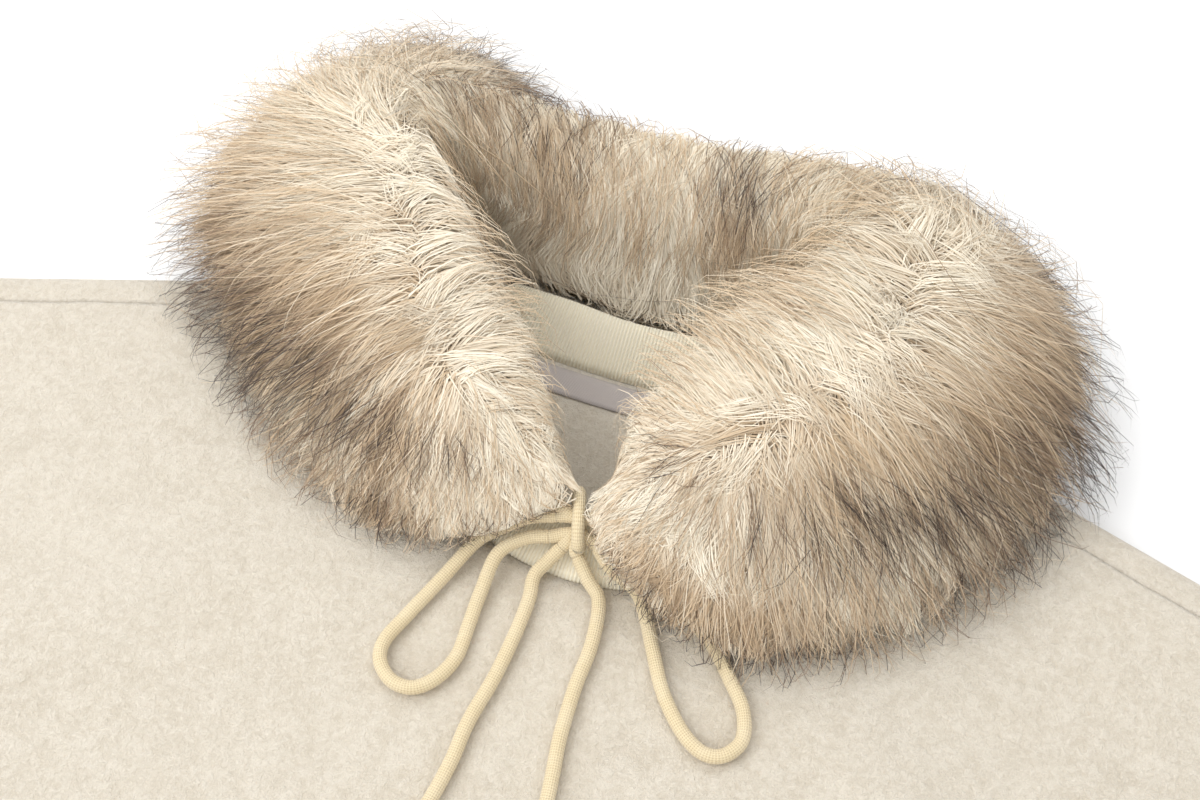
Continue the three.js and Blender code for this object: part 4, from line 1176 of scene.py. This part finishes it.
def lie_of_pile(share, turn):
    """Direction in which the pile lies, as parts along the collar and round it that make a unit vector: out
    from the nearer crown, and behind the neck from the foot of the inner side up and over the ridge."""
    crown = np.where(share < 0.5, *CROWNS)
    along = (share - crown - np.clip(share - crown, -CROWN_REACH, CROWN_REACH)) * COLLAR_LENGTH * LIE["along"]
    across = (turn - np.pi) * COLLAR_GIRTH * LIE["across"]
    size = np.hypot(along, across) + LIE["soft"]
    behind = behind_neck(share, (0.345, 0.37), (0.62, 0.645))
    along = along / size * (1 - behind) + (share - 0.5) * LIE["fan"] * behind
    across = across / size * (1 - behind) - behind
    size = np.maximum(np.hypot(along, across), LIE["least"])
    return along / size, across / size


def spread_roots(count, random):
    """Shares and turns of places spread evenly over the outside of the pile, by the area of each cell of a
    fine grid."""
    rows, columns = ROOT_GRID
    turns = np.linspace(ROOT_EDGE, 2 * np.pi - ROOT_EDGE, columns)
    share, turn = np.meshgrid(np.linspace(0, 1, rows), turns, indexing="ij")
    place = collar_place(share, turn, np.full(share.shape, 0.9))
    one, other = np.diff(place, axis=0)[:, :-1], np.diff(place, axis=1)[:-1]
    area = np.linalg.norm(np.cross(one, other), axis=-1)
    thick = smooth(turn[:-1, :-1], THIN_AT_FOOT["from"], THIN_AT_FOOT["to"])
    area *= THIN_AT_FOOT["share"] + (1 - THIN_AT_FOOT["share"]) * thick
    total = np.concatenate([[0], np.cumsum(area.ravel())])
    spot = (np.arange(count) + random.random(count)) / count * total[-1]
    cell = np.clip(np.searchsorted(total, spot) - 1, 0, area.size - 1)
    row, column = np.unravel_index(cell, area.shape)
    root_share = (row + random.random(count)) / area.shape[0]
    around = (column + random.random(count)) / area.shape[1]
    root_turn = ROOT_EDGE + around * (2 * np.pi - 2 * ROOT_EDGE)
    return root_share, root_turn


def millimetre_steps(share, turn):
    """How much share and how much turn make a millimetre on the outside of the pile there."""
    distances = (0.004, 0.04)
    lengths = [np.linalg.norm(step, axis=-1) for step in steps_on_pile(share, turn, *distances)]
    return [2 * far / np.maximum(length, LEAST_STEP) for far, length in zip(distances, lengths)]


def hair_paths(root, tip, bend, lofts, levels):
    """Places along hairs from root and tip shares and turns. A hair stands up from the backing first, as
    1 - (1 - w)^1.8, then runs on along the pile, as w^1.35, and a wave, sin(pi w^1.3), bends it sideways."""
    run = levels ** 1.35
    stand = 1 - (1 - levels) ** 1.8
    wave = np.sin(np.pi * levels ** 1.3)
    share = root[0][:, None] + (tip[0] - root[0])[:, None] * run + bend[0][:, None] * wave
    turn = root[1][:, None] + (tip[1] - root[1])[:, None] * run + bend[1][:, None] * wave
    loft = lofts[0][:, None] + (lofts[1] - lofts[0])[:, None] * stand
    return collar_place(share, turn, loft)


def pile_normal(share, turn):
    """Which way the outside of the pile faces: the cross product of its steps along and round the collar."""
    along, across = steps_on_pile(share, turn, 0.006, 0.06)
    normal = unit(np.cross(across, along))
    loft = np.full(share.shape, OUTER_LOFT)
    out = collar_place(share, turn, loft) - collar_place(share, turn, loft - 0.3)
    return normal * np.where(np.sum(normal * out, -1) < 0, -1, 1)[..., None]


def hair_ribbons(path, width, roll, normal):
    """Tapered ribbons along hairs, two places at each level and one at the tip. They face out of the pile,
    turned about the hair by the roll."""
    tangent = unit(np.gradient(path, axis=1))
    side = unit(np.cross(tangent, normal[:, None]))
    over = np.cross(side, tangent)
    across = side * np.cos(roll)[:, None, None] + over * np.sin(roll)[:, None, None]
    offset = across[:, :-1] * (width / 2)[..., None]
    pairs = np.stack([path[:, :-1] - offset, path[:, :-1] + offset], 2)
    places = np.concatenate([pairs.reshape(len(path), -1, 3), path[:, -1:]], 1)
    steps = path.shape[1] - 2
    corners = []
    for k in range(steps):
        corners += [(2 * k, 2 * k + 1, 2 * k + 3), (2 * k, 2 * k + 3, 2 * k + 2)]
    corners.append((2 * steps, 2 * steps + 1, 2 * steps + 2))
    faces = np.arange(len(path))[:, None, None] * places.shape[1] + np.array(corners)
    return places, faces


def tone(darkness):
    """Colour of a hair from its darkness: cream, tan, brown and near black, evenly blended between."""
    stops = [0.0, 0.38, 0.7, 1.0]
    colours = np.array([CREAM_TIP, WARM_TAN, SOFT_BROWN, NEAR_BLACK])
    return np.stack([np.interp(darkness, stops, colours[:, k]) for k in range(3)], -1)


def level_share(levels):
    """The share along the hair of each place of a ribbon."""
    return np.concatenate([np.repeat(levels[:-1], 2), levels[-1:]])


def swung(along, across, swing):
    """A direction along the pile, turned by the angle whose tangent is the swing."""
    return along - across * swing, across + along * swing


def under_hairs(random):
    """The dense pile, in locks whose hairs draw together towards their tips. Each lock swings and bends its
    own way, and is a little paler or browner than the next."""
    lock_share, lock_turn = spread_roots(LOCKS, random)
    lock_run = course(HAIR_RUNS, lock_share)[:, 0] * random.normal(*LOCK_RUN, LOCKS)
    near_ridge = np.exp(-(((lock_turn - np.pi) / 0.5) ** 2))
    behind = behind_neck(lock_share, (0.34, 0.40), (0.60, 0.66))
    lock_run *= 1 - UPRIGHT_BEHIND * near_ridge * behind
    uneven_share, uneven_turn = (random.normal(0, spread, LOCKS) for spread in LOCK_UNEVEN)
    along, across = lie_of_pile(lock_share + uneven_share, lock_turn + uneven_turn)
    along, across = swung(along, across, random.normal(0, LOCK_SWING, LOCKS))
    # Painted light: the pile that faces the neck from behind is made paler where the lamps leave it in shade.
    paler = PAINTED_LIGHT_BEHIND * behind * smooth(lock_turn, 2.9, 3.6)
    share_step, turn_step = millimetre_steps(lock_share, lock_turn)
    of_lock = {
        "share": lock_share,
        "turn": lock_turn,
        "run_share": along * lock_run * share_step,
        "run_turn": across * lock_run * turn_step,
        "share_step": share_step,
        "turn_step": turn_step,
        "bend": random.normal(0, LOCK_BEND, LOCKS),
        "along": along,
        "across": across,
        "loft": random.normal(*LOCK_LOFT, LOCKS),
        "tone": random.normal(*LOCK_TONE, LOCKS) - paler,
    }
    lock = {key: np.repeat(value, HAIRS_A_LOCK) for key, value in of_lock.items()}
    count = LOCKS * HAIRS_A_LOCK
    scatter = random.normal(0, LOCK_SCATTER, (2, count))
    stray = scatter * LOCK_DRAW + random.normal(0, HAIR_STRAY, (2, count))
    reach = random.normal(1, HAIR_REACH, count)
    root = (lock["share"] + scatter[0] * lock["share_step"], lock["turn"] + scatter[1] * lock["turn_step"])
    tip = (
        lock["share"] + lock["run_share"] * reach + stray[0] * lock["share_step"],
        lock["turn"] + lock["run_turn"] * reach + stray[1] * lock["turn_step"],
    )
    bend = lock["bend"] + random.normal(0, HAIR_BEND, count)
    bend = (-lock["across"] * bend * lock["share_step"], lock["along"] * bend * lock["turn_step"])
    lofts = (random.uniform(*HAIR_ROOTS, count), lock["loft"] + random.normal(0, 0.02, count))
    marked = darkness_at(root[0], root[1]) * 0.5 + darkness_at(tip[0], tip[1]) * 0.5
    return root, tip, bend, lofts, marked, lock["tone"] + random.normal(0, HAIR_TONE, count)


def guard_hairs(random):
    """Longer single hairs over the whole pile, with dark tips in its markings and along its outer rim."""
    share, turn = spread_roots(GUARD_HAIRS, random)
    run = course(HAIR_RUNS, share)[:, 0] * random.uniform(*GUARD_RUN, GUARD_HAIRS)
    along, across = swung(*lie_of_pile(share, turn), random.normal(0, GUARD_SWING, GUARD_HAIRS))
    share_step, turn_step = millimetre_steps(share, turn)
    tip = (share + along * run * share_step, turn + across * run * turn_step)
    bend = random.normal(0, GUARD_BEND, GUARD_HAIRS)
    bend = (-across * bend * share_step, along * bend * turn_step)
    behind = behind_neck(share, (0.32, 0.38), (0.62, 0.68))
    near_ridge = np.exp(-(((turn - np.pi) / 0.6) ** 2))
    standing = GUARD_STANDING["behind"] * behind * near_ridge + GUARD_STANDING["round"] * (1 - behind)
    tip_loft = random.uniform(GUARD_LOFT[0], GUARD_LOFT[1] + standing, GUARD_HAIRS)
    lofts = (np.full(GUARD_HAIRS, 0.5), tip_loft)
    rim = 1 - smooth(turn, 1.2 + 1.3 * behind, 2.0 + 1.7 * behind)
    rim *= 1 - 0.8 * np.exp(-(((share - PALE_RIM[0]) / PALE_RIM[1]) ** 2))
    rim *= random.uniform(0, GUARD_RIM, GUARD_HAIRS)
    marked = np.clip(darkness_at(share, turn) * GUARD_DARKER + rim, 0, 1)
    return (share, turn), tip, bend, lofts, marked, random.normal(0, GUARD_TONE, GUARD_HAIRS)


def fur_finish():
    """Soft fibre with a low gloss, coloured hair by hair."""
    finish = Finish(
        "fake_fur", Roughness=0.6, Sheen_Weight=0.25, Sheen_Roughness=0.4, Specular_IOR_Level=0.3
    )
    colour = finish.node("ShaderNodeAttribute", {"attribute_name": "hair_colour"}, output="Color")
    return finish.finish(colour)


fake_fur = fur_finish()
random = np.random.default_rng(31)


def add_pile(name, hairs, levels, widths, darkness_along):
    """Pieces of hair from one end of the collar to the other, split so that each has no more than about
    PIECE_TRIANGLES triangles.
    """
    root, tip, bend, lofts, marked, shade = hairs
    order = np.argsort(root[0], kind="stable")
    parts = -(-len(order) * (2 * len(levels) - 3) // PIECE_TRIANGLES)
    for number, chosen in enumerate(np.array_split(order, parts)):
        path = hair_paths(*([value[chosen] for value in pair] for pair in (root, tip, bend, lofts)), levels)
        width = np.broadcast_to(np.array(widths), (len(chosen), len(widths)))
        normal = pile_normal(root[0][chosen], root[1][chosen])
        places, faces = hair_ribbons(path, width, random.uniform(-ROLL, ROLL, len(chosen)), normal)
        w = level_share(levels)
        dark = darkness_along(marked[chosen][:, None], w[None]) + shade[chosen][:, None]
        colour = np.concatenate([tone(np.clip(dark, 0, 1)), np.ones((*dark.shape, 1))], -1)
        band = np.floor(root[1][chosen] / (2 * np.pi) * MAP_BANDS)
        u = root[0][chosen][:, None] + np.where(np.arange(places.shape[1]) % 2, 0.003, 0.0)
        v = (band[:, None] + 0.05 + 0.9 * w) / MAP_BANDS
        uv = np.stack([np.clip(u, 0, 1), np.clip(v, 0, 1)], -1).reshape(-1, 2)
        faces = faces.reshape(-1, 3)
        piece = add_mesh(f"{name}_{number + 1}", places.reshape(-1, 3), faces, uv[faces], fake_fur)
        attribute = piece.data.color_attributes.new("hair_colour", "FLOAT_COLOR", "POINT")
        attribute.data.foreach_set("color", colour.astype(np.float32).ravel())
        lit = unit(normal + random.normal(0, NORMAL_SPREAD, normal.shape))
        piece.data.normals_split_custom_set_from_vertices(np.repeat(lit, places.shape[1], axis=0))


add_pile(
    "collar_pile",
    under_hairs(random),
    HAIR_LEVELS,
    (0.5, 0.47, 0.28),
    # Hairs darken towards their roots: the pile's own tan roots with painted shade between the locks added;
    # the markings darken them most towards their tips.
    lambda marked, w: 0.25 * (1 - w) ** 1.2 + marked * (0.42 + 0.66 * w),
)
add_pile(
    "collar_guard_hair",
    guard_hairs(random),
    GUARD_LEVELS,
    (0.3, 0.28, 0.25, 0.18),
    lambda marked, w: 0.08 + marked * 0.3 + (0.28 + 0.8 * marked) * smooth(w, 0.3, 0.65),
)
